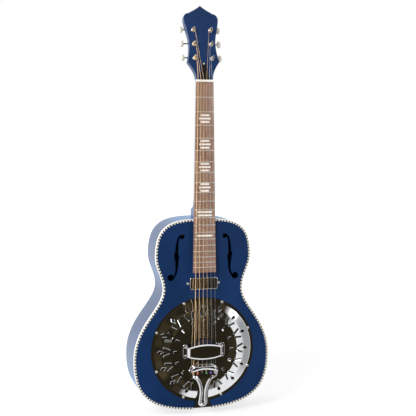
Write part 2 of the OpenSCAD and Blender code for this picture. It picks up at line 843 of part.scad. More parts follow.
// Output jack that is also the strap button, through the tailpiece and the end block
plug_bore_r = 3.25;
plug_depth = 26;
jack_flange_r = 8.5;
jack_flange = 2;
jack_neck_r = 5.4;
jack_neck = 6;
jack_head_r = 7.2;
jack_head = 3;
jack_nut_r = 9;
jack_nut = 3;
jack_tube = 30;
module endpin_jack() {
    out = tail_thick;
    block_face = side_thick + end_block_len;
    color(nickel)
    on_tail()
    difference() {
        rotate_extrude()
            polygon([
                [0, jack_tube], [jack_r, jack_tube], [jack_r, block_face + jack_nut],
                [jack_nut_r, block_face + jack_nut], [jack_nut_r, block_face], [jack_r, block_face],
                [jack_r, -out], [jack_flange_r, -out], [jack_flange_r, -out - jack_flange],
                [jack_neck_r, -out - jack_flange], [jack_neck_r, -out - jack_flange - jack_neck],
                [jack_head_r, -out - jack_flange - jack_neck - 1],
                [jack_head_r, -out - jack_flange - jack_neck - jack_head],
                [0, -out - jack_flange - jack_neck - jack_head]
            ]);
        drill(plug_bore_r, -beyond, plug_depth - out - jack_flange - jack_neck - jack_head);
    }
}

// Pickup
pickup_wall = 1;
pickup_sink = 8;
pickup_base_thick = 1.5;
coil_w = 60;
coil_tall = 11;
coil_gap = 1.6;
module at_pickup() at_bridge() translate([0, pickup_at, 0]) children();
module pickup_cover() {
    color(mirror_chrome)
    at_pickup()
    difference() {
        translate([0, 0, -pickup_sink])
            linear_extrude(pickup_sink + pickup_rise)
            rounded_rectangle(pickup_w, pickup_tall, pickup_corner);
        translate([0, 0, -pickup_sink - 1])
            linear_extrude(pickup_sink + pickup_rise + 1 - pickup_wall)
            rounded_rectangle(
                pickup_w - 2 * pickup_wall, pickup_tall - 2 * pickup_wall, pickup_corner - pickup_wall
            );
    }
}
module pickup_coils() {
    color(black_plastic)
    at_pickup()
    for (y = sides)
        translate([0, y * (coil_tall + coil_gap) / 2, -pickup_sink])
        linear_extrude(pickup_sink + pickup_rise - 2 * pickup_wall)
        rounded_rectangle(coil_w, coil_tall, coil_tall / 2 - 0.5);
}
pickup_ear_w = 12;
pickup_ear_x = pickup_screw_x + 5;
module pickup_base() {
    color(brass)
    difference() {
        at_pickup() translate([0, 0, -pickup_sink - pickup_base_thick]) linear_extrude(pickup_base_thick) {
            square([pickup_w - 2, pickup_tall - 2], center = true);
            square([2 * pickup_ear_x, pickup_ear_w], center = true);
        }
        at_bridge() at_pickup_screws() drill(screw_r + seat_gap, -beyond, beyond);
    }
}

// Neck with its heel, the wedge under the fretboard's end and the headstock, in one piece
head_drop = 1.2;
neck_arc_steps = 16;
neck_fullness = 0.86;
heel_start = fret_at(joint_fret) + joint_setback - heel_cap_len - heel_length;
heel_end = fret_at(joint_fret) + joint_setback + 6;
volute_len = 30;
wedge_inset = 0.4;
volute_narrow = 3;
function grown(v, p) = sign(v) * pow(abs(v), p);
function neck_depth(s) =
    s < heel_start
        ? neck_depth_nut + (neck_depth_heel - neck_depth_nut) * s / heel_start
        : let (u = min(1, (s - heel_start) / heel_length))
          neck_depth_heel + (heel_depth - neck_depth_heel) * (1 - sqrt(1 - u * u));
function neck_ring(half, top, depth, z) = [
    for (j = [0 : neck_arc_steps])
        let (a = 180 - 180 * j / neck_arc_steps)
        [half * grown(cos(a), neck_fullness), top + depth * pow(max(0, sin(a)), neck_fullness), z]
];
shaft_steps = 6;
heel_steps = 12;
volute_steps = 4;
function neck_rings() = concat(
    [
        for (i = [volute_steps : -1 : 1])
            let (
                z = nut_len + volute_len * i / volute_steps,
                lean = head_drop + (z - nut_len) * tan(head_tilt)
            )
            neck_ring(
                nut_w / 2 - volute_narrow * i / volute_steps, lean + board_thick * 0.5,
                (neck_depth_nut + board_thick * 0.5 - head_drop) * (1 - i / volute_steps)
                    + (head_thick - board_thick * 0.5 - 0.6) * i / volute_steps, z
            )
    ],
    [neck_ring(nut_w / 2, board_thick, neck_depth_nut, nut_len)],
    [
        for (i = [0 : shaft_steps])
            let (s = heel_start * i / shaft_steps)
            neck_ring(board_half(s), board_thick, neck_depth(s), -s)
    ],
    [
        for (i = [1 : heel_steps])
            let (s = heel_start + heel_length * sin(90 * i / heel_steps))
            neck_ring(board_half(s), board_thick, neck_depth(s), -s)
    ],
    [neck_ring(board_half(heel_end), board_thick, heel_depth, -heel_end)]
);

head_start_half = nut_w / 2 - 0.4;
flare_at = 45;
head_waist_at = 90;
ear_at = 148;
ear_in = 29;
ear_top = head_len - 19.5;
step_in = 25.5;
step_top = head_len - 16.5;
head_half_outline = concat(
    curve_points([[head_start_half, -1], [head_start_half, 18], [30, 32], [flare_half, flare_at]], 8),
    curve_points([
        [flare_half, flare_at], [flare_half - 3.4, flare_at + 13],
        [head_waist_half, head_waist_at - 18], [head_waist_half, head_waist_at]
    ], 8),
    curve_points([
        [head_waist_half, head_waist_at], [head_waist_half, head_waist_at + 20],
        [ear_half - 2.4, ear_at - 20], [ear_half, ear_at]
    ], 8),
    curve_points([
        [ear_half, ear_at], [ear_half + 2, ear_at + 12], [ear_half - 5, ear_top], [ear_in, ear_top]
    ], 7),
    curve_points([[step_in, step_top], [18, step_top + 3], [8, head_len - 6.5], [0, head_len]], 5)
);
// The outline's curves share their end points, which are drawn once
function distinct(p) = [for (i = [0 : len(p) - 1]) if (i == 0 || norm(p[i] - p[i - 1]) > 0.01) p[i]];
head_half = distinct(head_half_outline);

rod_r = 2.7;
rod_w = 6.4;
rod_y = board_thick + 4.2;
rod_low = fret_at(joint_fret) - 10;
rod_high = 24;
module rod_channel() {
    on_neck() {
        translate([-rod_w / 2, 0, -rod_low - seat_gap])
            cube([rod_w, rod_y + rod_w / 2, rod_low + nut_len + 2 * seat_gap]);
        translate([-rod_w / 2, -beyond, nut_len])
            cube([rod_w, beyond + rod_y + rod_w / 2, rod_high + seat_gap]);
    }
}

bushing_r = 4.3;
bushing_len = 9;
module at_posts() {
    for (x = sides, i = [0 : 2])
        on_head() translate([x * post_half, 0, post_first + i * post_pitch]) rotate([-90, 0, 0]) children();
}

module neck() {
    color(blue_lacquer)
    difference() {
        union() {
            difference() {
                on_neck() skin(neck_rings());
                slab(top_y, 2 * depth_tail) polygon(outline(0));
            }
            difference() {
                on_neck() slab(board_thick, beyond)
                    polygon([
                        for (p = [[1, heel_end - 3], [1, board_len], [-1, board_len], [-1, heel_end - 3]])
                            [p.x * (board_half(p.y) - wedge_inset), -p.y]
                    ]);
                translate([-nut_w, top_y, tail_z]) cube([2 * nut_w, depth_tail, -tail_z]);
            }
            on_head() slab(0, head_thick)
                polygon(concat(
                    head_half,
                    [for (i = [len(head_half) - 2 : -1 : 0]) [-head_half[i].x, head_half[i].y]]
                ));
            tenon(0);
        }
        rod_channel();
        on_neck() translate([-nut_w, -beyond, -nut_len]) cube([2 * nut_w, beyond + board_thick, 2 * nut_len]);
        at_posts() {
            drill(bushing_r + seat_gap, -1, bushing_len + seat_gap);
            drill(post_r + 4 * seat_gap, -1, head_thick + 1);
        }
        at_plate_screws() drill(plate_screw_r + seat_gap, -plate_screw_len - seat_gap, 1);
        at_rod_cover_screw() drill(plate_screw_r + seat_gap, -plate_screw_len - seat_gap, 1);
    }
}

// Fretboard with its fret slots and inlay pockets
tang_w = 0.6;
tang_h = 2.2;
inlay_depth = 1.2;
inlay_tall = 4.2;
inlay_pitch = 8;
inlay_long = 30;
inlay_short = 21.4;
inlay_double = 37;
inlay_single = 39;
inlay_point = 1.6;
function inlay_mid(n) = -(fret_at(n) + fret_at(n - 1)) / 2;
module inlay_bar(w, gap) {
    half = inlay_tall / 2 + gap;
    polygon([
        [-w / 2 - gap, 0], [-w / 2 - gap + inlay_point, half], [w / 2 + gap - inlay_point, half],
        [w / 2 + gap, 0], [w / 2 + gap - inlay_point, -half], [-w / 2 - gap + inlay_point, -half]
    ]);
}
module inlays(gap) {
    on_neck() slab(0, inlay_depth + gap) {
        for (n = [3 : 2 : 9])
            translate([0, inlay_mid(n)]) {
                inlay_bar(inlay_long, gap);
                for (y = sides)
                    translate([0, y * inlay_pitch])
                    square([inlay_short, inlay_tall] + 2 * [gap, gap], center = true);
            }
        for (y = sides)
            translate([0, inlay_mid(12) + y * inlay_pitch / 2])
            square([inlay_double, inlay_tall] + 2 * [gap, gap], center = true);
        translate([0, inlay_mid(15)]) square([inlay_single, inlay_tall] + 2 * [gap, gap], center = true);
    }
}
module fretboard() {
    color(rosewood)
    difference() {
        on_neck() slab(0, board_thick)
            polygon([
                [nut_w / 2, 0], [board_end_w / 2, -board_len], [-board_end_w / 2, -board_len], [-nut_w / 2, 0]
            ]);
        on_neck()
            for (n = [1 : fret_count])
                translate([-board_end_w, -1, -fret_at(n) - tang_w / 2 - seat_gap / 2])
                cube([2 * board_end_w, 1 + tang_h + seat_gap, tang_w + seat_gap]);
        inlays(seat_gap / 2);
    }
}
fret_end_gap = 0.3;
module frets() {
    crown_r = (pow(fret_w / 2, 2) + pow(fret_h, 2)) / (2 * fret_h);
    color(nickel)
    on_neck()
    for (n = [1 : fret_count]) {
        half = board_half(fret_at(n)) - fret_end_gap;
        translate([-half, 0, -fret_at(n)]) rotate([90, 0, 90]) linear_extrude(2 * half) {
            intersection() {
                translate([crown_r - fret_h, 0]) circle(crown_r);
                translate([-fret_h, -fret_w / 2]) square([fret_h, fret_w]);
            }
            translate([-fret_h / 2, -tang_w / 2]) square([tang_h + fret_h / 2, tang_w]);
        }
    }
}
module fret_inlays() color(bone) inlays(0);

module nut() {
    color(bone)
    difference() {
        on_neck() translate([-nut_w / 2, -nut_h, 0]) cube([nut_w, nut_h + board_thick, nut_len]);
        on_neck()
            for (i = [0 : string_count - 1])
                translate([string_x(i, nut_spread) - string_d[i] / 2 - string_gap, -nut_h - 1, -1])
                cube([string_d[i] + 2 * string_gap, nut_h + 1 - nut_action + seat_gap, nut_len + 2]);
    }
}

module truss_rod() {
    color(nickel)
    on_neck() translate([0, rod_y, 0]) {
        translate([0, 0, -rod_low]) cylinder(r = rod_r, h = rod_low + nut_len);
        translate([0, 0, nut_len]) cylinder(r = rod_r + 0.3, h = rod_high - nut_len - 1, $fn = 6);
    }
}

// Bell-shaped cover over the truss rod's nut
rod_cover_half = 11;
rod_cover_top = 43;
rod_cover_neck = 4.7;
rod_cover_thick = 1.6;
rod_cover_low = 0.5;
rod_cover_screw_at = rod_cover_top - 3.4;
module truss_rod_cover() {
    half = concat(
        curve_points([
            [rod_cover_half, rod_cover_low], [rod_cover_half - 2, 14],
            [rod_cover_neck + 2.6, 22], [rod_cover_neck + 1.2, 34]
        ], 8),
        arc([0, rod_cover_top - rod_cover_neck - 0.6], rod_cover_neck + 0.6, 20, 90, 6)
    );
    color(black_plastic)
    difference() {
        on_head() slab(-rod_cover_thick, rod_cover_thick) polygon(mirrored(half));
        at_rod_cover_screw() drill(plate_screw_r + seat_gap, -beyond, beyond);
    }
}
module at_rod_cover_screw() on_head() translate([0, 0, rod_cover_screw_at]) rotate([90, 0, 0]) children();

// Tuners: a post through the headstock, a gear on its end and a worm on the shaft of the key
plate_screw_r = 1;
plate_screw_len = 7;
gear_r = gear_module * gear_teeth / 2;
worm_lead = PI * gear_module;
shaft_up = gear_r + worm_pitch_r;
gear_clear = 2.2;
gear_y = head_thick + plate_thick + gear_clear;
shaft_y = gear_y + gear_thick / 2;
tooth_tip = 0.7;
tooth_root = 0.85;
worm_tip_r = worm_pitch_r + 0.6;
worm_root_r = worm_pitch_r - 0.9;
worm_half = 6.2;
ear_thick = 1.2;
ear_gap = 0.5;
ear_half_w = 3.6;
ear_inner = worm_half + ear_gap;
plate_low = 14;
plate_high = 20;
post_square = 4;
post_head_r = 3.6;
post_head = 1.4;
function post_row(t) = (t < 3) ? t : 5 - t;
function post_side(t) = (t < 3) ? -1 : 1;
function post_s(t) = post_first + post_row(t) * post_pitch;
// A tuner's own frame: its origin is on the post's axis in the headstock's face, its x runs out to the key
module at_tuner(t) {
    on_head() translate([post_side(t) * post_half, 0, post_s(t)]) children();
}
module at_shaft(t) at_tuner(t) translate([0, shaft_y, shaft_up]) children();

plate_screw_at = [
    -plate_low + 3.5, post_pitch / 2 + shaft_up / 2,
    1.5 * post_pitch + shaft_up / 2, 2 * post_pitch + plate_high - 3.5
];
module at_plate_screws() {
    for (x = sides, s = plate_screw_at)
        on_head() translate([x * post_half, head_thick, post_first + s]) rotate([-90, 0, 0]) children();
}

module tuner_plates() {
    color(nickel)
    difference() {
        for (x = sides) {
            on_head() translate([x * post_half - plate_w / 2, head_thick, post_first - plate_low])
                cube([plate_w, plate_thick, 2 * post_pitch + plate_low + plate_high]);
            for (i = [0 : 2], e = sides)
                on_head()
                translate([x * post_half, head_thick, post_first + i * post_pitch])
                translate([e * (ear_inner + ear_thick / 2), plate_thick / 2, shaft_up - ear_half_w])
                translate([-ear_thick / 2, 0, 0])
                cube([ear_thick, shaft_y - head_thick - plate_thick / 2 + ear_half_w, 2 * ear_half_w]);
        }
        at_posts() drill(post_r + running_gap, head_thick - 1, head_thick + plate_thick + 1);
        for (t = [0 : string_count - 1])
            at_shaft(t) rotate([0, 90, 0]) drill(shaft_r + running_gap, -plate_w, plate_w);
        at_plate_screws() drill(plate_screw_r + seat_gap, -1, beyond);
    }
}

bushing_flange_r = 5.1;
bushing_flange = 1.6;
module tuner_bushings() {
    color(nickel)
    at_posts()
    rotate_extrude()
        polygon([
            [post_r + running_gap, -bushing_flange], [bushing_flange_r - 0.6, -bushing_flange],
            [bushing_flange_r, -bushing_flange + 0.6], [bushing_flange_r, 0], [bushing_r, 0],
            [bushing_r, bushing_len], [post_r + running_gap, bushing_len]
        ]);
}

post_waist_r = post_r - 0.35;
winding_low = 3;
module post(t) {
    color(nickel)
    at_tuner(t)
    rotate([-90, 0, 0]) {
        rotate_extrude()
            polygon([
                [0, gear_y], [post_r, gear_y], [post_r, -winding_low], [post_waist_r, -winding_low - 0.4],
                [post_waist_r, -post_reach + 2.6], [post_r, -post_reach + 2], [post_r, -post_reach + 0.5],
                [post_r - 0.5, -post_reach], [0, -post_reach]
            ]);
        translate([-post_square / 2, -post_square / 2, gear_y - 1])
            cube([post_square, post_square, gear_thick + 1 + post_head / 2]);
        drill(post_head_r, gear_y + gear_thick, gear_y + gear_thick + post_head);
    }
}

// The gear has a space between two teeth turned to the worm
module gear(t) {
    step = 360 / gear_teeth;
    root = gear_r - tooth_root;
    tip = gear_r + tooth_tip;
    root_half = 8.2;
    tip_half = 2.4;
    tooth = [[root, -root_half], [tip, -tip_half], [tip, tip_half], [root, root_half]];
    color(brass)
    at_tuner(t)
    difference() {
        slab(gear_y, gear_thick)
            polygon([
                for (k = [0 : gear_teeth - 1], c = tooth)
                    let (a = 90 + (k + 0.5) * step + c[1])
                    c[0] * [cos(a), sin(a)]
            ]);
        square_hole = post_square + 2 * seat_gap;
        translate([-square_hole / 2, gear_y - 1, -square_hole / 2])
            cube([square_hole, gear_thick + 2, square_hole]);
    }
}

worm_steps = 12;
worm_turns = 4;
worm_rings = worm_turns * worm_steps / 2;
thread_foot = 0.48;
thread_tip = 0.2;
thread_sunk_r = worm_root_r - 0.3;
thread_section = [
    [thread_sunk_r, thread_foot], [worm_tip_r, thread_tip],
    [worm_tip_r, -thread_tip], [thread_sunk_r, -thread_foot]
];
// One ring of the thread: two points sunk in the core and two at the tip, carried along a right-handed helix
function thread_ring(turn) =
    let (a = 360 * turn, x = worm_lead * turn)
    [
        for (c = thread_section)
            [x + c[1], c[0] * sin(a), -c[0] * cos(a)]
    ];
module worm(t) {
    side = post_side(t);
    key_end = button_x - post_half;
    color(nickel)
    at_shaft(t) {
        skin([for (i = [-worm_rings : worm_rings]) thread_ring(i / worm_steps)]);
        rotate([0, 90, 0]) {
            cylinder(r = worm_root_r, h = 2 * ear_inner, center = true);
            scale([1, 1, side]) {
                drill(shaft_r, worm_half, key_end);
                drill(shaft_r, -ear_inner - ear_thick - 0.8, -worm_half);
            }
        }
    }
}

button_rings = 8;
button_sides = 12;
button_bulge = 0.8;
// An oval button, fuller than an ellipsoid, whose rings follow the shaft
module button(t) {
    side = post_side(t);
    color(cream)
    difference() {
        at_shaft(t) translate([side * (button_x - post_half), 0, 0])
            skin([
                for (i = [0 : button_rings])
                    let (u = -84 + 168 * i / button_rings)
                    [
                        for (j = [0 : button_sides - 1])
                            let (a = 360 * j / button_sides, w = pow(cos(u), button_bulge))
                            [
                                button_size.x / 2 * sin(u) / sin(84),
                                button_size.z / 2 * w * grown(cos(a), button_bulge),
                                button_size.y / 2 * w * grown(sin(a), button_bulge)
                            ]
                    ]
            ]);
        at_shaft(t) rotate([0, 90, 0]) scale([1, 1, side])
            drill(shaft_r + seat_gap / 2, 0, button_x - post_half + seat_gap);
    }
}

// Strings: each runs from its ball in the tailpiece over saddle and nut to its post, with one turn round it
winding_space = 0.5;
lay_steps = 18;
lay_turn = 270;
post_line_y = -4.6;
function lay_r(i) = post_r + 2 * string_gap + string_d[i] / 2;
function lay_y(i) = post_line_y - string_d[i] / 2;
function string_path(i) =
    let (
        r = string_d[i] / 2, side = post_side(i), s = post_s(i),
        nut_x = string_x(i, nut_spread),
        saddle_x = string_x(i, saddle_spread),
        tail_x = string_x(i, tail_spread)
    )
    concat(
        [
            bridge_point([tail_x, ball_at, ball_h]), bridge_point([tail_x, lip_at - lip_flap / 2, ball_h]),
            bridge_point([tail_x, lip_at + lip_r, ball_h + 0.5]),
            bridge_point([saddle_x, -saddle_thick / 2, string_h + r]),
            bridge_point([saddle_x, saddle_thick / 2, string_h + r]),
            neck_point([nut_x, -nut_action - r, 0]), neck_point([nut_x, -nut_action - r, nut_len + 0.4])
        ],
        [
            for (k = [0 : lay_steps])
                let (a = lay_turn * k / lay_steps)
                head_point([side * (post_half - lay_r(i) * cos(a)), lay_y(i), s + lay_r(i) * sin(a)])
        ]
    );
string_up = head_point([0, -1, 0]) - head_point([0, 0, 0]);
module strings() {
    for (i = [0 : string_count - 1]) {
        color(i < wound_count ? bronze : nickel) {
            skin(tube_rings(string_path(i), string_d[i] / 2, string_up));
            at_bridge() translate([string_x(i, tail_spread) - ball_r * 0.8, ball_at, ball_h])
                rotate([0, 90, 0]) cylinder(r = ball_r, h = ball_r * 1.6);
        }
    }
}

// The turns that were wound onto a post: a helix of one unbroken tube, straight for one diameter at each end
turn_steps = 24;
function winding_r(i) = post_r + string_gap + string_d[i] / 2;
function winding_path(i) =
    let (
        side = post_side(i), d = string_d[i], r = winding_r(i), rise = d + winding_space,
        last = wound_turns[i] * turn_steps, y0 = lay_y(i) - rise,
        turns = [
            for (k = [0 : last])
                let (a = 360 * k / turn_steps)
                [-side * r * cos(a), y0 - rise * k / turn_steps, r * sin(a)]
        ]
    )
    concat(
        [turns[0] - d * unit(turns[1] - turns[0])],
        turns,
        [turns[last] + d * unit(turns[last] - turns[last - 1])]
    );
function least_gap(p, d) =
    min([for (i = [0 : len(p) - 1], j = [i + turn_steps / 2 : 1 : len(p) - 1]) norm(p[i] - p[j])]) - d;
module winding(i) {
    color(i < wound_count ? bronze : nickel)
    at_tuner(i) skin(tube_rings(winding_path(i), string_d[i] / 2, [0, -1, 0]));
}
for (i = [0 : string_count - 1])
    echo(winding = i + 1, least_gap = least_gap(winding_path(i), string_d[i]));

// All screws: coverplate, palm rest, pickup, tailpiece, biscuit, tuner plates and truss rod cover
tail_screw_len = 14;
biscuit_screw_len = 7;
module screws() {
    color(nickel) {
        at_bridge() {
            at_cover_screws() translate([0, 0, cover_thick])
                round_screw(screw_head_r, screw_head_h, screw_r, cover_screw_len + cover_thick);
            at_palm_screws() translate([0, 0, cover_rise + palm_thick])
                round_screw(screw_head_r - 0.5, screw_head_h, palm_screw_r, palm_thick + cover_thick + 2);
            at_pickup_screws()
                round_screw(screw_head_r - 0.2, screw_head_h, screw_r, pickup_sink + pickup_base_thick + 2);
            translate([0, 0, cone_top_h - cone_wall]) rotate([180, 0, 0])
                round_screw(
                    screw_head_r + 1, screw_head_h, biscuit_screw_r,
                    cone_wall + biscuit_thick - saddle_slot - 1.5
                );
        }
        at_tail_screws() translate([0, 0, tail_thick])
            round_screw(screw_head_r, screw_head_h, screw_r, tail_screw_len + tail_thick);
        at_plate_screws() translate([0, 0, plate_thick])
            round_screw(2, 1.2, plate_screw_r, plate_screw_len + plate_thick);
        at_rod_cover_screw() translate([0, 0, rod_cover_thick])
            round_screw(2, 1.2, plate_screw_r, plate_screw_len + rod_cover_thick);
    }
}

top_plate();
rim_sides();
end_strip();
back_plate();
top_binding();
linings();
neck_block();
end_block();
soundwell_ring();
resonator_cone();
biscuit();
saddle();
coverplate();
palm_rest();
tailpiece();
endpin_jack();
pickup_cover();
pickup_coils();
pickup_base();
neck();
fretboard();
frets();
fret_inlays();
nut();
truss_rod();
truss_rod_cover();
tuner_plates();
tuner_bushings();
screws();
strings();
for (t = [0 : string_count - 1]) {
    post(t);
    gear(t);
    worm(t);
    button(t);
    winding(t);
}
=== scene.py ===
# %% [markdown]
# # Resonator guitar
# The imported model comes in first. It carries every solid in its true place, so the pieces made here only give
# those solids their finer shape and their finish. All sizes below are in millimetres, and the meshes are in metres.

# %% Load the frame
from math import cos, pi, radians, sin, tan

import bmesh
import bpy
import numpy as np
from mathutils.geometry import delaunay_2d_cdt
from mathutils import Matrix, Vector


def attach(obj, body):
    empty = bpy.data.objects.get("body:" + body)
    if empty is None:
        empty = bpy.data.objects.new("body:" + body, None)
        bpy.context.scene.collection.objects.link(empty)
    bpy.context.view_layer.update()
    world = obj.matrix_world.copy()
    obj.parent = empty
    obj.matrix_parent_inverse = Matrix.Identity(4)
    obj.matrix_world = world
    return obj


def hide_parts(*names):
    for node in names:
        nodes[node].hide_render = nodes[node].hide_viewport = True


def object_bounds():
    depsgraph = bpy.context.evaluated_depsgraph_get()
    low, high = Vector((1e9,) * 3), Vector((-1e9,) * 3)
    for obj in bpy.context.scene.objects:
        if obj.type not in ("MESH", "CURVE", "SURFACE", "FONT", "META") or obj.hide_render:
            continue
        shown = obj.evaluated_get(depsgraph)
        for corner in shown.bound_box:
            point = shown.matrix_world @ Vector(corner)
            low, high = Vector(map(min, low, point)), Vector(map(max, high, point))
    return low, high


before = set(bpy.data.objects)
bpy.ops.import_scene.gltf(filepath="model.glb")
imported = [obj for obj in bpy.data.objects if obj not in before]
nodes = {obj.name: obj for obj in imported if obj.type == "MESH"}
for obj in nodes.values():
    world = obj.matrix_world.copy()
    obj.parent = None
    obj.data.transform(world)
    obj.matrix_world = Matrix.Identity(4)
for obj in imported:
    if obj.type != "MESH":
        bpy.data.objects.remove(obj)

cad_box = [[float(v) for v in corner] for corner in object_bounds()]
print("CAD box", cad_box)

# %% [markdown]
# The guitar has three working frames: the body's top, the neck that leans back from it, and the headstock that
# leans back once more. The two leans are turns about X, so one small function serves both. The bridge's frame lies on
# the top, with its third number rising towards the player.

# %% Places on the guitar
MM = 0.001
NECK_LEAN, HEAD_LEAN = 1.8, 14.0
TOP_Y, BRIDGE_Z, TAIL_Z, BODY_TOP_Z = -2.6085, -651.1785, -802.4785, -328.1396
BODY_DEPTH, BACK_SLOPE = 84, 2.53495
SCALE, FRETS = 650, 20
STRING_D = np.array([1.42, 1.07, 0.81, 0.61, 0.43, 0.33])
TAIL_SPREAD, SADDLE_SPREAD, NUT_SPREAD = 55.5, 53.5, 35
POST_OUT = 21.3
HEAD_START = [0, 1.2, 5]


def turned(p, lean):
    """Points turned about X: y and z each become a mix of both by the angle's cosine and sine."""
    c, s = cos(radians(lean)), sin(radians(lean))
    return np.stack([p[..., 0], p[..., 1] * c + p[..., 2] * s, -p[..., 1] * s + p[..., 2] * c], -1)


def on_neck(p):
    """Points of the neck's frame, leaned back with the neck."""
    return turned(np.asarray(p, float), NECK_LEAN)


def on_head(p):
    """Points of the headstock's frame: leaned with the headstock, moved behind the nut, leaned with the neck."""
    return on_neck(turned(np.asarray(p, float), HEAD_LEAN) + HEAD_START)


def at_bridge(p):
    """Points of the bridge's frame: across, up the guitar, and height above the top."""
    p = np.asarray(p, float)
    return np.stack([p[..., 0], TOP_Y - p[..., 2], BRIDGE_Z + p[..., 1]], -1)


def fret_at(n):
    """Distance of a fret from the nut: the length of string that is left halves every twelve frets."""
    return SCALE * (1 - 2 ** (-n / 12))


BOARD_LEN = fret_at(FRETS) + 13
print("fretboard is", round(BOARD_LEN, 1), "mm long")

# %% [markdown]
# Nearly every new piece is a grid of points, a function of two parameters, joined by four-sided faces. A closed
# form is a grid whose last column lies on its first, or whose end row shrinks to one point; the weld that follows
# closes it. Welding first and turning the normals after it keeps every face pointing outwards.

# %% Grid to mesh
WELD = 2e-6


def put(name, sheets, material, body="guitar", replaces=(), uvs=None):
    """One mesh from several grids of points, each rows by columns by three, with neighbours joined by quads.

    uvs gives each grid's own pair of numbers per point.
    """
    corners, start = [], 0
    for sheet in sheets:
        at = start + np.arange(sheet.shape[0] * sheet.shape[1]).reshape(sheet.shape[:2])
        corners.append(np.stack([at[:-1, :-1], at[:-1, 1:], at[1:, 1:], at[1:, :-1]], -1).reshape(-1, 4))
        start += at.size
    points = np.concatenate([sheet.reshape(-1, 3) for sheet in sheets]) * MM
    uv = None if uvs is None else np.concatenate([uv.reshape(-1, 2) for uv in uvs])
    shown(name, points, np.concatenate(corners), material, body, replaces, uv=uv)


def shown(name, points, faces, material, body="guitar", replaces=(), sharp=35, uv=None, facing=None):
    """Points in metres and their faces as one welded, smooth object that rides on a body.

    Edges that turn by more than sharp degrees, and the rims of an open sheet, are kept crisp. facing is a direction
    that an open sheet looks to.
    """
    mesh = bpy.data.meshes.new(name)
    mesh.from_pydata(points.tolist(), [], faces.tolist())
    if uv is not None:
        loops = np.empty(len(mesh.loops), dtype=np.int32)
        mesh.loops.foreach_get("vertex_index", loops)
        mesh.uv_layers.new(name="UVMap").data.foreach_set("uv", uv[loops].astype(np.float32).ravel())
    work = bmesh.new()
    work.from_mesh(mesh)
    bmesh.ops.remove_doubles(work, verts=work.verts, dist=WELD)
    bmesh.ops.dissolve_degenerate(work, edges=work.edges, dist=WELD / 4)
    bmesh.ops.recalc_face_normals(work, faces=work.faces)
    if facing is not None and sum(f.normal.dot(facing) * f.calc_area() for f in work.faces) < 0:
        bmesh.ops.reverse_faces(work, faces=work.faces)
    work.to_mesh(mesh)
    work.free()
    mesh.polygons.foreach_set("use_smooth", np.ones(len(mesh.polygons), dtype=bool))
    mesh.set_sharp_from_angle(angle=radians(sharp))
    rims, creased = np.empty(len(mesh.loops), dtype=np.int32), np.empty(len(mesh.edges), dtype=bool)
    mesh.loops.foreach_get("edge_index", rims)
    mesh.edges.foreach_get("use_edge_sharp", creased)
    creased |= np.bincount(rims, minlength=len(creased)) == 1
    mesh.edges.foreach_set("use_edge_sharp", creased)
    mesh.materials.append(material)
    piece = bpy.data.objects.new(name, mesh)
    bpy.context.scene.collection.objects.link(piece)
    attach(piece, body)
    if replaces:
        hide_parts(*replaces)
    print(name, len(mesh.polygons), "faces")
    return piece


# %% [markdown]
# Four more helpers draw what the pieces are made of: rings closed at their ends, a profile turned on a lathe, a line
# with rounded corners, and a smooth curve pulled by handles, as a drawing program makes it.

# %% Rings, turned shapes and curves
def poled(rings):
    """Rings closed at both ends by a row that is drawn together in the end ring's middle."""
    first = np.repeat(rings[:1].mean(1, keepdims=True), rings.shape[1], 1)
    last = np.repeat(rings[-1:].mean(1, keepdims=True), rings.shape[1], 1)
    return np.concatenate([first, rings, last])


def lathe(profile, steps):
    """A profile of radius and height turned about the third axis: r cos a, r sin a, h."""
    profile = np.asarray(profile, float)
    a = np.linspace(0, 2 * pi, steps + 1)
    r, h = profile[:, :1], profile[:, 1:]
    return np.stack([r * np.cos(a), r * np.sin(a), h + 0 * a], -1)


def eased(corners, r, steps):
    """A line of straight pieces whose corners are rounded.

    Each corner becomes a short curve between two points that lie r away from it, or less on a short piece.
    """
    p = np.asarray(corners, float)
    run = np.diff(p, axis=0)
    length = np.linalg.norm(run, axis=1, keepdims=True)
    cut = np.minimum(r, 0.45 * np.minimum(length[:-1], length[1:]))
    a, b = p[1:-1] - cut * run[:-1] / length[:-1], p[1:-1] + cut * run[1:] / length[1:]
    t = np.linspace(0, 1, steps + 1)[None, :, None]
    curve = (1 - t) ** 2 * a[:, None] + 2 * t * (1 - t) * p[1:-1, None] + t ** 2 * b[:, None]
    return np.concatenate([p[:1], curve.reshape(-1, p.shape[1]), p[-1:]])


def bezier(c, steps=16):
    """Points of a curve pulled by four handles: each handle's share is a power of t times one of 1 - t."""
    c, t = np.asarray(c, float), np.linspace(0, 1, steps + 1)[:, None]
    return (1 - t) ** 3 * c[0] + 3 * (1 - t) ** 2 * t * c[1] + 3 * (1 - t) * t ** 2 * c[2] + t ** 3 * c[3]


# %% [markdown]
# Every finish starts from what the real one is made of. Colours are written as the hex values that a screen shows
# and are turned to light by one function. One more function adds a node, sets its sockets and links it; a value
# that is the same all over goes straight onto the shader.

# %% Finish helpers
def linear(text):
    """A hex colour as linear light: each channel is undone from the screen's curve."""
    c = np.array([int(text[i:i + 2], 16) for i in (1, 3, 5)]) / 255
    return tuple(np.where(c <= 0.04045, c / 12.92, ((c + 0.055) / 1.055) ** 2.4)) + (1.0,)


def add(tree, kind, inputs=None, **settings):
    """Adds one node, with its settings, and gives each named input a value or a link."""
    node = tree.nodes.new(kind)
    for key, value in settings.items():
        setattr(node, key, value)
    for key, value in (inputs or {}).items():
        if isinstance(value, bpy.types.NodeSocket):
            tree.links.new(value, node.inputs[key])
        else:
            node.inputs[key].default_value = value
    return node


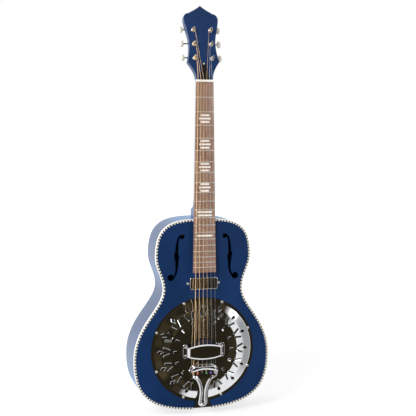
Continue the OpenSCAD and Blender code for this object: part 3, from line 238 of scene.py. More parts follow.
def finish_of(name, **sockets):
    """A new material with its one shader, its values set on the shader's own sockets, and object coordinates."""
    material = bpy.data.materials.new(name)
    material.use_nodes = True
    tree = material.node_tree
    shader = tree.nodes["Principled BSDF"]
    for key, value in sockets.items():
        shader.inputs[key.replace("_", " ")].default_value = value
    place = add(tree, "ShaderNodeTexCoord").outputs["Object"]
    print("finish", name)
    return material, tree, shader, place


def ramp(node, *stops):
    """Sets the two colours of a colour ramp from pairs of place and hex."""
    for element, (at, text) in zip(node.color_ramp.elements, stops):
        element.position, element.color = at, linear(text)


def coated(finishes):
    """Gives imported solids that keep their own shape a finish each, by name."""
    for name, material in finishes.items():
        nodes[name].data.materials.clear()
        nodes[name].data.materials.append(material)
    print("coated", *finishes)


# %% [markdown]
# Blue lacquer on wood: a deep colour coat under a clear gloss coat, sprayed and polished. Real lacquer is never
# quite flat: it keeps a faint ripple, like the skin of an orange, that makes reflections tremble. The ripple here is
# about 4 mm wide, coarser than the real one so that it shows, and the colour drifts a little over the width of a
# hand. A satin haze, drawn as sheen, turns the sides pale blue where the light only grazes them.

# %% Blue lacquer
blue_lacquer, tree, shader, place = finish_of(
    "blue_lacquer_on_wood", Roughness=0.45, Specular_IOR_Level=0.15,
    Coat_Weight=1.0, Coat_Roughness=0.24, Coat_IOR=1.5,
    Sheen_Weight=0.65, Sheen_Roughness=0.3, Sheen_Tint=linear("#2fa8ff"))
drift = add(tree, "ShaderNodeTexNoise", {"Vector": place, "Scale": 9.0, "Detail": 3.0})
tint = add(tree, "ShaderNodeValToRGB", {"Fac": drift.outputs["Fac"]})
ramp(tint, (0.3, "#022853"), (0.7, "#073265"))
ripple = add(tree, "ShaderNodeTexNoise", {"Vector": place, "Scale": 240.0, "Detail": 1.0})
skin = add(tree, "ShaderNodeBump", {"Height": ripple.outputs["Fac"], "Strength": 0.02, "Distance": 0.001})
tree.links.new(tint.outputs["Color"], shader.inputs["Base Color"])
tree.links.new(skin.outputs["Normal"], shader.inputs["Coat Normal"])

# %% [markdown]
# Cream celluloid binding with a checkered face. The strip is carried round the body, so its pattern reads the
# piece's own UV map: U is the distance round the body in millimetres and V the distance across the strip, from
# the sides over the edge to the inner line. Real checks are about 3 mm square; these are drawn 3.9 mm long and
# 3.7 mm wide, so that they show.

# %% Checkered binding
CHECK, LANE_OUTER, LANE_INNER = 3.9, 7.5, 11.2
checkered_celluloid, tree, shader, place = finish_of(
    "checkered_celluloid", Roughness=0.28, Coat_Weight=0.6, Coat_Roughness=0.1)
strip = add(tree, "ShaderNodeUVMap", uv_map="UVMap").outputs["UV"]
run = add(tree, "ShaderNodeSeparateXYZ", {"Vector": strip})
beat = add(tree, "ShaderNodeMath", {0: run.outputs["X"], 1: CHECK}, operation="PINGPONG")
block = add(tree, "ShaderNodeMath", {0: beat.outputs[0], 1: CHECK / 2}, operation="GREATER_THAN")
edge = add(tree, "ShaderNodeMath", {0: run.outputs["Y"], 1: LANE_OUTER}, operation="GREATER_THAN")
inner = add(tree, "ShaderNodeMath", {0: run.outputs["Y"], 1: LANE_INNER}, operation="LESS_THAN")
lane = add(tree, "ShaderNodeMath", {0: edge.outputs[0], 1: inner.outputs[0]}, operation="MULTIPLY")
dark = add(tree, "ShaderNodeMath", {0: lane.outputs[0], 1: block.outputs[0]}, operation="MULTIPLY")
age = add(tree, "ShaderNodeTexNoise", {"Vector": place, "Scale": 60.0, "Detail": 4.0})
ivory = add(tree, "ShaderNodeValToRGB", {"Fac": age.outputs["Fac"]})
ramp(ivory, (0.3, "#f0ede3"), (0.7, "#faf8f1"))
blocks = add(tree, "ShaderNodeMix", {"Factor": dark.outputs[0], 6: ivory.outputs["Color"], 7: linear("#332e27")},
             data_type="RGBA")
tree.links.new(blocks.outputs[2], shader.inputs["Base Color"])

# %% [markdown]
# Polished chrome plate: a mirror that takes nearly all its look from the room. What tells it from a perfect
# mirror is the faint waviness of pressed sheet and a veil of handling that roughens it in soft patches, here about
# 30 mm wide. Nickel and brass on the small parts are the same, warmer and a little duller.

# %% Chrome and nickel
def plated(name, shade, smooth, worn, wave):
    """A plated metal: roughness drifts between two values in soft patches, and a slow wave bends reflections."""
    material, tree, shader, place = finish_of(name, Metallic=1.0, Base_Color=linear(shade))
    veil = add(tree, "ShaderNodeTexNoise", {"Vector": place, "Scale": 33.0, "Detail": 4.0})
    level = add(tree, "ShaderNodeMapRange", {"Value": veil.outputs["Fac"], 1: 0.35, 2: 0.75, 3: smooth, 4: worn})
    swell = add(tree, "ShaderNodeTexNoise", {"Vector": place, "Scale": 45.0, "Detail": 0.0})
    bend = add(tree, "ShaderNodeBump", {"Height": swell.outputs["Fac"], "Strength": wave, "Distance": 0.001})
    tree.links.new(level.outputs["Result"], shader.inputs["Roughness"])
    tree.links.new(bend.outputs["Normal"], shader.inputs["Normal"])
    return material


chrome = plated("polished_chrome_plate", "#e3e4e6", 0.03, 0.09, 0.03)
nickel = plated("polished_nickel_plate", "#cfcac0", 0.12, 0.24, 0.03)
satin_nickel = plated("satin_nickel_plate", "#efece6", 0.3, 0.4, 0.02)
brass = plated("machined_brass", "#c9a45a", 0.2, 0.34, 0.02)

# %% [markdown]
# Spun aluminium: the cone is pressed over a turning form, so the tool leaves fine circles round its middle. The
# circles come from the distance to the cone's axis, 1.6 mm apart, which is coarser than the tool's real feed.

# %% Spun aluminium
CIRCLE_GAP = 1.6 * MM
# The metal's grey is darker than bare spun aluminium: painted shade for the cone's place under the coverplate.
spun_aluminium, tree, shader, place = finish_of(
    "spun_aluminium", Metallic=1.0, Roughness=0.34, Base_Color=linear("#8f9194"))
centred = add(tree, "ShaderNodeMapping", {"Vector": place, "Location": (0, 0, -BRIDGE_Z * MM), "Scale": (1, 0, 1)})
reach = add(tree, "ShaderNodeVectorMath", {0: centred.outputs["Vector"]}, operation="LENGTH")
feed = add(tree, "ShaderNodeMath", {0: reach.outputs["Value"], 1: 2 * pi / CIRCLE_GAP}, operation="MULTIPLY")
groove = add(tree, "ShaderNodeMath", {0: feed.outputs[0]}, operation="SINE")
score = add(tree, "ShaderNodeBump", {"Height": groove.outputs[0], "Strength": 0.25, "Distance": 0.0004})
tree.links.new(score.outputs["Normal"], shader.inputs["Normal"])

# %% [markdown]
# Rosewood fretboard: open-pored, oiled and unvarnished. Its grain runs along the neck, so the noise is stretched
# along Z: bands about 3 mm wide and 70 mm long, with dark pores 0.8 mm wide on top. The maple and spruce inside the
# body are the same with other sizes and colours. The spruce linings and the maple of biscuit and saddle are made
# near black: painted shade for the dark inside of the body.

# %% Woods
GRAIN_STRETCH = 0.045


def bare_wood(name, dark, light, across, pore, rough):
    """Grain that runs along Z: noise squeezed across the grain for bands, finer noise for pores and their dents."""
    material, tree, shader, place = finish_of(name, Roughness=rough)
    along = add(tree, "ShaderNodeMapping", {"Vector": place, "Scale": (1, 1, GRAIN_STRETCH)})
    bands = add(tree, "ShaderNodeTexNoise",
                {"Vector": along.outputs["Vector"], "Scale": 1000 / across, "Detail": 4.0, "Distortion": 0.6})
    tint = add(tree, "ShaderNodeValToRGB", {"Fac": bands.outputs["Fac"]})
    ramp(tint, (0.3, dark), (0.72, light))
    pores = add(tree, "ShaderNodeTexNoise", {"Vector": along.outputs["Vector"], "Scale": 1000 / pore, "Detail": 1.0})
    open_pore = add(tree, "ShaderNodeMapRange", {"Value": pores.outputs["Fac"], 1: 0.56, 2: 0.68, 3: 0.0, 4: 0.55})
    grain = add(tree, "ShaderNodeMix", {"Factor": open_pore.outputs["Result"], 6: tint.outputs["Color"],
                                        7: linear(dark)}, data_type="RGBA")
    dent = add(tree, "ShaderNodeBump", {"Height": open_pore.outputs["Result"], "Strength": 0.12, "Distance": 0.0004},
               invert=True)
    tree.links.new(grain.outputs[2], shader.inputs["Base Color"])
    tree.links.new(dent.outputs["Normal"], shader.inputs["Normal"])
    return material


rosewood = bare_wood("oiled_rosewood", "#7c5e4f", "#ab8c79", 3.2, 0.8, 0.42)
maple = bare_wood("bare_maple", "#b98f5c", "#dcb985", 9.0, 1.2, 0.55)
# Maple for biscuit and saddle, painted near blue-black as shade in the hole under the palm rest.
shade_dark_maple = bare_wood("maple_with_painted_shade", "#16182a", "#2c2f45", 6.0, 1.2, 0.5)
# Spruce for the linings, painted near black as shade inside the body.
shade_dark_spruce = bare_wood("spruce_with_painted_shade", "#3d2d1c", "#574128", 2.2, 1.2, 0.6)

# %% [markdown]
# Pearloid inlays are cast from flakes that turn their sheen each its own way, drawn here as cells 2.5 mm wide. The
# bone nut and the moulded plastic of buttons and covers show only soft clouds, about 10 mm wide, under a skin with a
# fine dull grain.

# %% Pearl, bone and plastics
pearl, tree, shader, place = finish_of("cast_pearloid", Roughness=0.22, Coat_Weight=0.5, Coat_Roughness=0.08)
flakes = add(tree, "ShaderNodeTexVoronoi", {"Vector": place, "Scale": 400.0})
milk = add(tree, "ShaderNodeValToRGB", {"Fac": flakes.outputs["Color"]})
ramp(milk, (0.1, "#f6f2ea"), (0.9, "#fffdf9"))
tree.links.new(milk.outputs["Color"], shader.inputs["Base Color"])


def moulded(name, dark, light, size, rough, grain):
    """A moulded or carved solid: clouds of two close colours, and a fine dull grain in its skin."""
    material, tree, shader, place = finish_of(name, Coat_Weight=0.3, Coat_Roughness=0.15)
    clouds = add(tree, "ShaderNodeTexNoise", {"Vector": place, "Scale": 1000 / size, "Detail": 3.0})
    tint = add(tree, "ShaderNodeValToRGB", {"Fac": clouds.outputs["Fac"]})
    ramp(tint, (0.3, dark), (0.7, light))
    skin = add(tree, "ShaderNodeTexNoise", {"Vector": place, "Scale": 900.0, "Detail": 2.0})
    level = add(tree, "ShaderNodeMapRange",
                {"Value": skin.outputs["Fac"], 1: 0.3, 2: 0.7, 3: rough, 4: rough + grain})
    tree.links.new(tint.outputs["Color"], shader.inputs["Base Color"])
    tree.links.new(level.outputs["Result"], shader.inputs["Roughness"])
    return material


bone = moulded("polished_bone", "#f4f0e7", "#fdfbf6", 8, 0.25, 0.12)
cream_plastic = moulded("cream_moulded_plastic", "#e0dac9", "#efeadc", 9, 0.2, 0.12)
black_plastic = moulded("black_moulded_plastic", "#0c0c0e", "#191a1c", 12, 0.22, 0.12)

# %% [markdown]
# Wound strings are a steel core with bronze wire wrapped round it, so light breaks into fine rings along the
# string. The tube's UV map carries the distance along the string in millimetres, and a sine wave of it dents the
# surface once per wrap; the wraps are drawn 0.9 mm apart, wider than real ones, so that they show at all.

# %% Strings
def wire(name, shade, rough, pitch, depth):
    """Drawn wire with a dent every pitch millimetres along the UV map's U."""
    material, tree, shader, _ = finish_of(name, Metallic=1.0, Base_Color=linear(shade), Roughness=rough)
    length = add(tree, "ShaderNodeUVMap", uv_map="UVMap").outputs["UV"]
    run = add(tree, "ShaderNodeSeparateXYZ", {"Vector": length})
    beat = add(tree, "ShaderNodeMath", {0: run.outputs["X"], 1: 2 * pi / pitch}, operation="MULTIPLY")
    wrap = add(tree, "ShaderNodeMath", {0: beat.outputs[0]}, operation="SINE")
    dent = add(tree, "ShaderNodeBump", {"Height": wrap.outputs[0], "Strength": depth, "Distance": 0.0003})
    tree.links.new(dent.outputs["Normal"], shader.inputs["Normal"])
    return material


bronze_wound = wire("bronze_wound_string", "#fbd8aa", 0.5, 0.9, 0.5)
plain_steel = wire("plain_steel_string", "#e8e6e2", 0.4, 6.0, 0.05)

# %% [markdown]
# ## Body
# The body's outline is four smooth curves from the middle of its upper edge to the middle of its tail, mirrored.
# The real sides are two thin boards bent to this line with heat and water. Here a small section, a wall 2.5 mm thick,
# is carried round the line, so the sides come out as one smooth bend with no flats.

# %% Body outline
UPPER, WAIST, LOWER = 119.75, 100.25, 171.5
half_curves = [
    [[0, BODY_TOP_Z], [75, BODY_TOP_Z], [UPPER, BODY_TOP_Z - 7], [UPPER, BODY_TOP_Z - 91]],
    [[UPPER, BODY_TOP_Z - 91], [UPPER, BODY_TOP_Z - 120.5], [WAIST, BODY_TOP_Z - 141], [WAIST, BODY_TOP_Z - 171]],
    [[WAIST, BODY_TOP_Z - 171], [WAIST, BODY_TOP_Z - 217.5], [LOWER, BRIDGE_Z + 66.5], [LOWER, BRIDGE_Z - 19]],
    [[LOWER, BRIDGE_Z - 19], [LOWER, BRIDGE_Z - 98.5], [142.6, TAIL_Z], [0, TAIL_Z]],
]
half_line = np.concatenate([bezier(c, 48)[:-1] for c in half_curves] + [[[0, TAIL_Z]]])
body_line = np.concatenate([half_line, half_line[-2::-1] * [-1, 1]])


def run_of(line):
    """Distance along a line at each of its points: the steps between neighbours, added up."""
    return np.concatenate([[0], np.cumsum(np.linalg.norm(np.diff(line, axis=0), axis=1))])


def outward(line):
    """Unit vectors that point out of a closed line drawn clockwise, square to the run between both neighbours."""
    run = np.roll(line[:-1], -1, 0) - np.roll(line[:-1], 1, 0)
    out = np.stack([-run[:, 1], run[:, 0]], -1) / np.linalg.norm(run, axis=1, keepdims=True)
    return np.concatenate([out, out[:1]])


body_run, body_out = run_of(body_line), outward(body_line)


def carried(section):
    """A section of inset and depth pairs carried round the body's outline: each point moves inwards by its inset."""
    section = np.asarray(section, float)
    flat = body_line[None] - section[:, :1, None] * body_out[None]
    return np.stack([flat[..., 0], TOP_Y + section[:, 1:] + 0 * flat[..., 0], flat[..., 1]], -1)


def back_depth(z):
    """Depth of the back's outer face below the top: it grows in a straight line from neck to tail."""
    return BODY_DEPTH + (BODY_TOP_Z - z) * tan(radians(BACK_SLOPE))


print("body outline is", round(body_run[-1]), "mm round")

# %% [markdown]
# The sides grow deeper towards the tail: each row of the wall follows the sloping back by its own share. The back is
# a flat plate with a rounded edge. Its rows follow the outline and then run straight across to the middle line,
# because rows moved far inwards would cross each other at the waist.

# %% Sides and back
SIDE_WALL, BINDING_DEEP, BACK_THICK = 2.5, 6, 3
side_foot = BODY_DEPTH - BACK_THICK
sides = carried([[0, BINDING_DEEP], [0, 6.4], [0, 30], [0, 60], [0, side_foot], [SIDE_WALL, side_foot],
                 [SIDE_WALL, BINDING_DEEP], [0, BINDING_DEEP]])
share_of_slope = np.array([0, 0, 0.35, 0.7, 1, 1, 0, 0])[:, None]
sides[..., 1] += share_of_slope * (back_depth(sides[..., 2]) - BODY_DEPTH)
put("bent_sides", [sides], blue_lacquer, replaces=("rim_sides", "end_strip"))

back_edge = carried([[3, -BACK_THICK], [0.05, -BACK_THICK], [0, -2.8], [0, -1.2], [0.35, -0.35], [1.2, 0], [3, 0]])
back_edge[..., 1] += back_depth(back_edge[..., 2])
to_middle = np.linspace(1, 0, 9)[:, None, None] * [1, 0, 0] + [0, 1, 1]
back = np.concatenate([(back_edge[:1] * to_middle)[::-1], back_edge[1:-1], back_edge[-1:] * to_middle])
put("flat_back", [back], blue_lacquer, replaces=("back_plate",))

# %% [markdown]
# The binding protects the edge where top and side meet. It is glued into a step cut round the top, then scraped
# flush, so it is a strip with one slightly rounded corner. The UV map runs along it for the checkered face.

# %% Binding
BINDING_WIDE, TOP_THICK = 5.4, 3.5
strip_section = eased([[0, BINDING_DEEP], [0, 0], [BINDING_WIDE, 0], [BINDING_WIDE, TOP_THICK], [SIDE_WALL, TOP_THICK],
                       [SIDE_WALL, BINDING_DEEP]], 0.5, 4)
strip_section = np.concatenate([strip_section, strip_section[:1]])
strip_uv = np.stack(np.broadcast_arrays(body_run[None], run_of(strip_section)[:, None]), -1)
put("checkered_binding", [carried(strip_section)], checkered_celluloid, replaces=("top_binding",), uvs=[strip_uv])
# The linings' near-black spruce is painted shade for the dark seen through the f-holes.
coated({"top_plate": blue_lacquer, "linings": shade_dark_spruce, "neck_block": maple, "end_block": maple,
        "soundwell_ring": maple})

# %% [markdown]
# ## Resonator
# The coverplate is a pressed disc: flat rim, steep band, broad crown, with groups of cut-outs all round. Holes in a
# curved sheet are awkward on a plain grid, so its flat plan is filled with triangles that keep every cut-out's edge,
# and the height of each point is then a function of its distance from the middle. The press draws the rim of each
# cut-out down a little, which is what makes the cut-outs glint. Solidify gives the 1 mm of metal.

# %% Coverplate's height and cut-outs
def height_of_cover(r):
    """Height of the coverplate's upper face at a radius: straight runs between knots.

    The runs are averaged over 5 mm, or over 1.6 mm at the foot, to round the bends.
    """
    knots = np.array([[20, 11], [60, 11], [86, 10.3], [104.5, 6.5], [123, 1], [140, 1]])
    spread = np.linspace(-1, 1, 21) * np.interp(r, [100, 116], [2.5, 0.8])[..., None]
    return np.interp(r[..., None] + spread, knots[:, 0], knots[:, 1]).mean(-1)


def turned_flat(p, angle):
    """Flat points turned about the middle by an angle in degrees."""
    c, s = cos(radians(angle)), sin(radians(angle))
    return p @ np.array([[c, s], [-s, c]])


def along_edge(corners, step=2.0):
    """A closed line through the corners with a point about every step."""
    runs = [np.linspace(a, b, max(2, int(np.linalg.norm(b - a) / step) + 1), endpoint=False)
            for a, b in zip(corners, np.roll(corners, -1, 0))]
    return np.concatenate(runs)


GROUPS, COVER_HOLE, COVER_THICK, RIM_RING = 16, 33, 1.0, 0.9
box = np.array([[-1, -1], [1, -1], [1, 1], [-1, 1]]) / 2
cutouts = [np.array([[-6.8, 0], [1.6, -4.1], [6.8, 0], [1.6, 4.1]]) + [107.55, 0]]
cutouts += [turned_flat(turned_flat(box * [16.4, 3.5], s * 17.4) + [92.8, 0], s * 4.6) for s in (-1, 1)]
cutouts += [box * [7.8, 3.9] + [72, 0]]
rim_drop = (0.45, 0.45, 0.45, 0.35) * GROUPS
holes = [turned_flat(c, 90 + 360 / GROUPS * k) for k in range(GROUPS) for c in cutouts]
print("coverplate has", len(holes), "cut-outs")

# %% [markdown]
# Rings of points fill the plan, closer together at the foot of the steep band, where the bend is tight. Points near a
# cut-out make way for its edge and for a narrow ring round it, and triangles inside a cut-out are taken out again.

# %% Coverplate mesh
def edge_units(corners):
    """Unit vectors that point out of each edge of a convex outline drawn anticlockwise."""
    run = np.roll(corners, -1, 0) - corners
    return np.stack([run[:, 1], -run[:, 0]], -1) / np.linalg.norm(run, axis=1, keepdims=True)


def deep_inside(points, corners, gap):
    """True for points that lie inside a convex cut-out grown by gap: on the inner side of each of its edges."""
    return (np.einsum("pek,ek->pe", points[:, None] - corners, edge_units(corners)) < gap).all(1)


def grown(corners, gap):
    """A convex cut-out whose edges all move out by gap: each corner slides along the sum of both edges' units."""
    out = edge_units(corners)
    before = np.roll(out, 1, 0)
    return corners + gap * (out + before) / (1 + (out * before).sum(1, keepdims=True))


radii = np.concatenate([np.linspace(COVER_HOLE, 64, 9), np.linspace(67, 120.6, 25),
                        [122.1, 122.6, 123.1, 123.6, 124.1, 126.5, 129.9]])
rows = [np.stack([r * np.cos(a), r * np.sin(a)], -1) for i, r in enumerate(radii)
        for a in [np.linspace(0, 2 * pi, 12 * int(r / 5), endpoint=False) + 0.02 * i]]
inside = np.concatenate(rows[1:-1])
for hole in holes:
    inside = inside[~deep_inside(inside, hole, 1.5)]
inside = np.concatenate([inside] + [along_edge(grown(hole, RIM_RING)) for hole in holes])
loops = [rows[0], rows[-1]] + [along_edge(h) for h in holes]
starts = np.cumsum([0] + [len(loop) for loop in loops])
edges = np.concatenate([np.stack([np.arange(n), np.roll(np.arange(n), -1)], -1) + s
                        for s, n in zip(starts, map(len, loops))])
flat, _, triangles, *_ = delaunay_2d_cdt(np.concatenate(loops + [inside]).tolist(), edges.tolist(), [], 0, 1e-5)
flat, triangles = np.array(flat), np.array(triangles)
middles = flat[triangles].mean(1)
keep = np.linalg.norm(middles, axis=1) > COVER_HOLE
for hole in holes:
    keep &= ~deep_inside(middles, hole, 0)
heights = height_of_cover(np.linalg.norm(flat, axis=1))
for hole, drop in zip(holes, rim_drop):
    heights[deep_inside(flat, hole, 0.05)] -= drop
cover = shown("pierced_coverplate", at_bridge(np.column_stack([flat, heights])) * MM, triangles[keep], chrome,
              replaces=("coverplate",), sharp=18, facing=(0, -1, 0))
wall = cover.modifiers.new("sheet", "SOLIDIFY")
wall.thickness, wall.offset = COVER_THICK * MM, -1.0

# %% [markdown]
# Under the coverplate sits the cone that gives the guitar its voice: thin aluminium, spun on a lathe, with a rolled
# edge that rests on a ledge in the body. A turned shape is a profile of radius and height carried round a circle.

# %% Cone, biscuit and saddle
CONE_WALL = 0.8
cone_upper = eased([[2.1, -1.5], [30.5, -1.5], [35.5, -4], [103.65, -18.3], [107.65, -18.3], [112.65, -20.7],
                    [120.65, -20.7]], 3.0, 6)
cone_line = np.concatenate([cone_upper, cone_upper[::-1] - [0, CONE_WALL], cone_upper[:1]])
put("spun_cone", [at_bridge(lathe(cone_line, 96))], spun_aluminium, replaces=("resonator_cone",))
# Biscuit and saddle take the near blue-black maple: painted shade for the dark hole under the palm rest.
coated({"biscuit": shade_dark_maple, "saddle": shade_dark_maple, "pickup_coils": black_plastic, "pickup_base": brass})

# %% [markdown]
# The palm rest bridges the strings, so that a hand can lie over the bridge without touching it. It is a barrel-shaped
# plate with a bevelled border on two walls that bend outwards, each with a foot. The plate's height is a function of
# the distance to its nearest edge, so the border mitres at the corners like a picture frame. The feet are plain
# plates: an outline moved inwards by an inset while it rises by a height, ring by ring, which gives a flat face with
# a soft edge.

# %% Plates with soft edges
def ring_plate(line, levels, frame_of):
    """A mirrored outline as a solid plate: each level is the outline moved inwards by an inset, at a height.

    Both faces run straight across from the end levels to the outline's middle line.
    """
    levels = np.asarray(levels, float)
    flat = line[None] - levels[:, :1, None] * outward(line)[None]
    middle = (line.min(0) + line.max(0)) / 2 * [1, 0]
    flat = np.concatenate([flat[:1] * [0, 1] + middle, flat, flat[-1:] * [0, 1] + middle])
    high = np.concatenate([levels[:1], levels, levels[-1:]])[:, 1:, None]
    return frame_of(np.concatenate([flat, high + 0 * flat[..., :1]], -1))


def closed(half):
    """A right half outline from top to bottom, mirrored and closed, drawn clockwise."""
    half = np.asarray(half, float)
    line = np.concatenate([half, half[::-1] * [-1, 1]])
    line = line[np.concatenate([[True], np.linalg.norm(np.diff(line, axis=0), axis=1) > 1e-6])]
    return np.concatenate([line, line[:1]]) if np.linalg.norm(line[0] - line[-1]) > 1e-6 else line


def soft(low, high, r, steps=4):
    """Levels of a plate from a low face to a high one whose upper edge is a quarter round of radius r."""
    a = np.linspace(0, pi / 2, steps + 1)
    edge = np.stack([r - r * np.cos(a), high - r + r * np.sin(a)], -1)
    return np.concatenate([[[0.8, low], [0, low]], edge, [[r + 0.8, high]]])


# %% Palm rest's plate
REST_HALF, REST_TALL, REST_SWELL, REST_UNDER = 41.5, 18.5, 6.5, 25.4
rolled = eased([[0, 25.9], [3.2, 28.35], [5.2, 28.42], [20, 28.42]], 0.9, 5)
near = np.array([0, 0.15, 0.4, 0.8, 1.3, 1.8, 2.3, 2.8, 3.2, 3.6, 4.1, 4.8, 6])
bow = (REST_HALF ** 2 + REST_SWELL ** 2) / (2 * REST_SWELL)
x = np.concatenate([near - REST_HALF, np.linspace(-34, 34, 35), REST_HALF - near[::-1]])[:, None]
tall = np.sqrt(bow ** 2 - x ** 2) - bow + REST_TALL
y = np.concatenate([near - tall, np.linspace(-1, 1, 9) * (tall - 8), tall - near[::-1]], 1)
inset = np.minimum(REST_HALF - np.abs(x), tall - np.abs(y))
face = np.stack([x + 0 * y, y, np.interp(inset, rolled[:, 0], rolled[:, 1])], -1)
under = np.stack([x + 0 * y, y, REST_UNDER + 0 * y], -1)
barrel = np.concatenate([face, under[:, ::-1], face[:, :1]], 1)
shut = barrel[[0, -1]] * [1, 1, 0] + [0, 0, REST_UNDER + 0.25]
barrel = np.concatenate([shut[:1], barrel, shut[1:]])
print("palm rest bows on a radius of", round(bow), "mm")

# %% Palm rest's feet and walls
FOOT_OUT, FOOT_R, FOOT_UP, FOOT_LOW, FOOT_TOP = 46.8, 5.8, 11.7, 11, 12.5
foot_a = np.linspace(pi / 2, -pi / 2, 17)
foot_end = FOOT_R * np.stack([np.cos(foot_a), np.sin(foot_a)], -1)
foot = closed(np.concatenate([foot_end[:9] + [0, FOOT_UP], foot_end[8:] - [0, FOOT_UP]]))
bend = eased([[39.8, 26.3, 12], [41.6, 25.8, 12], [44, 22.6, 11.2], [45.1, 19, 10.2], [45.5, 16, 9.2],
              [45.5, FOOT_LOW, 8.2], [38.5, FOOT_LOW, 8.2], [38.5, 26.3, 12], [39.8, 26.3, 12]], 1.2, 4)
along = np.linspace(-1, 1, 9)[:, None]
rest = [at_bridge(barrel)]
for side in (-1, 1):
    bent_wall = np.stack([side * bend[:, 0] + 0 * along, along * bend[:, 2], bend[:, 1] + 0 * along], -1)
    rest += [ring_plate(foot + [side * FOOT_OUT, 0], soft(FOOT_LOW, FOOT_TOP, 0.9), at_bridge),
             at_bridge(poled(bent_wall))]
put("palm_rest_plate", rest, chrome, replaces=("palm_rest",))

# %% [markdown]
# The tailpiece is one stamped plate: it folds over the tail end, climbs above the coverplate and curls into a lip
# with six slots for the strings. Its surface is a side line times a width: rows follow the line, columns stand at
# fixed places across and are drawn in to the plate's edge, and a wishbone rib lifts the plate along its normal.

# %% Tailpiece's side line and edge
TAIL_THICK, FOLD = 1.8, -151.3
a = radians(1) * np.linspace(-90, 90, 25)
side_line = np.concatenate([
    [[FOLD, -50], [FOLD, 0.1], [-133.98, 2.88], [-118.21, 5.63], [-100.56, 8.75], [-84.02, 11.63], [-68.6, 13.5],
     [-52, 13.5]], np.stack([-41 + 4.3 * np.cos(a), 17.8 + 4.3 * np.sin(a)], -1), [[-50, 22.1]]])


def left_of(line):
    """Unit vectors to the left of an open line at each point, from its two neighbours."""
    run = np.gradient(line, axis=0)
    return np.stack([-run[:, 1], run[:, 0]], -1) / np.linalg.norm(run, axis=1, keepdims=True)


def evenly(line, step):
    """The same line with a point about every step, measured along it."""
    far = run_of(line)
    at = np.linspace(0, far[-1], int(far[-1] / step) + 2)
    return np.stack([np.interp(at, far, line[:, i]) for i in range(line.shape[1])], -1)


bent = evenly(np.concatenate([eased(side_line[:8], 6, 8)[:-1], side_line[8:]]), 0.6)
lift = left_of(bent)
outer_line = bent + TAIL_THICK * lift
outer_line[:, 0] = np.where(bent[:, 1] < 3, np.maximum(outer_line[:, 0], FOLD - TAIL_THICK), outer_line[:, 0])
arc_a = np.linspace(0, pi / 2, 9)
edge_line = np.concatenate([
    [[22.5, -30]], np.stack([22.5 + 12 * np.sin(arc_a), -48.7 + 12 * np.cos(arc_a)], -1),
    np.stack([28 + 6.5 * np.cos(arc_a), -60 - 6.5 * np.sin(arc_a)], -1),
    bezier([[27, -66.6], [17.25, -70], [12.8, -88], [12.8, -106]]), [[12.8, -118], [25.5, FOLD], [25.5, -180]]])
half_width = np.interp(-bent[:, 0], -edge_line[:, 1], edge_line[:, 0])
print("tailpiece is", round(run_of(bent)[-1]), "mm long, measured along its bend")

# %% [markdown]
# The rib is highest along a wishbone line and fades with the distance to it, so its crest is round and it has no
# steps. The flap behind the lip is arched along its free edge, which curls down a little. Faces that lie in a slot
# are left out.

# %% Tailpiece's rib, flap and slots
slot_x = TAIL_SPREAD * (np.arange(6) / 5 - 0.5)
slot_half = STRING_D / 2 + 0.35
RIB_HALF, FLAP_HALF, FLAP_START = 4.1, 30, -41
columns = np.unique(np.concatenate([np.linspace(-34.5, 34.5, 100), slot_x - slot_half, slot_x + slot_half]).round(3))
x = np.clip(columns[None], -half_width[:, None], half_width[:, None])
tip_a = radians(1) * np.linspace(30, -90, 24)
wish = evenly(np.concatenate([bezier([[29, -39], [32.5, -52], [30, -70], [21, -64.5]], 24)[:-1],
                              bezier([[21, -64.5], [11.5, -74], [6.6, -88], [5.6, -104]], 24),
                              np.stack([7.6 * np.cos(tip_a), -130.5 + 7.6 * np.sin(tip_a)], -1)]), 0.5)
reach = np.sqrt((np.abs(x)[..., None] - wish[:, 0]) ** 2 + (bent[:, :1, None] - wish[:, 1]) ** 2).min(-1)
rib = np.maximum(1.015 - np.sqrt((reach / RIB_HALF) ** 2 + 0.03), 0) * (bent[:, 1:] > 1)
rise = np.interp(bent[:, :1], [-72, -60], [4.3, 2.2]) * (np.sqrt(rib ** 2 + 0.01) - 0.1)
flap = (bent[:, 1:] > 20) * np.minimum(bent[:, :1] - FLAP_START, 0)
arch = 0.6 * flap * (1 - (x / FLAP_HALF) ** 2)
curl = 0.55 * np.maximum(3.5 - (9 + flap) * (0.4 + 0.6 * (x / FLAP_HALF) ** 2), 0) * (flap < 0)
ribbed = outer_line[:, None] + rise[..., None] * lift[:, None]
plate = np.stack([x, ribbed[..., 0] - arch, ribbed[..., 1] - curl], -1)
across = (columns[1:] + columns[:-1]) / 2
in_lip = (bent[:-1, 0] > -41.5) & (bent[:-1, 1] > 16.5)
slotted = in_lip[:, None] & (np.abs(across[:, None] - slot_x) < slot_half).any(1)[None]
at = np.arange(plate.shape[0] * plate.shape[1]).reshape(plate.shape[:2])
quads = np.stack([at[:-1, :-1], at[:-1, 1:], at[1:, 1:], at[1:, :-1]], -1)[~slotted]
tail = shown("tailpiece_plate", at_bridge(plate).reshape(-1, 3) * MM, quads, chrome, replaces=("tailpiece",),
             sharp=75, facing=(0, -1, -0.3))
wall = tail.modifiers.new("sheet", "SOLIDIFY")
wall.thickness, wall.offset = TAIL_THICK * MM, -1.0

# %% [markdown]
# Each string ends in a small barrel that catches behind the tailpiece's lip. Makers dye the barrels so that a player
# can tell the strings apart: plain brass, red, black, green, purple and tin-white, from the thick string to the thin.

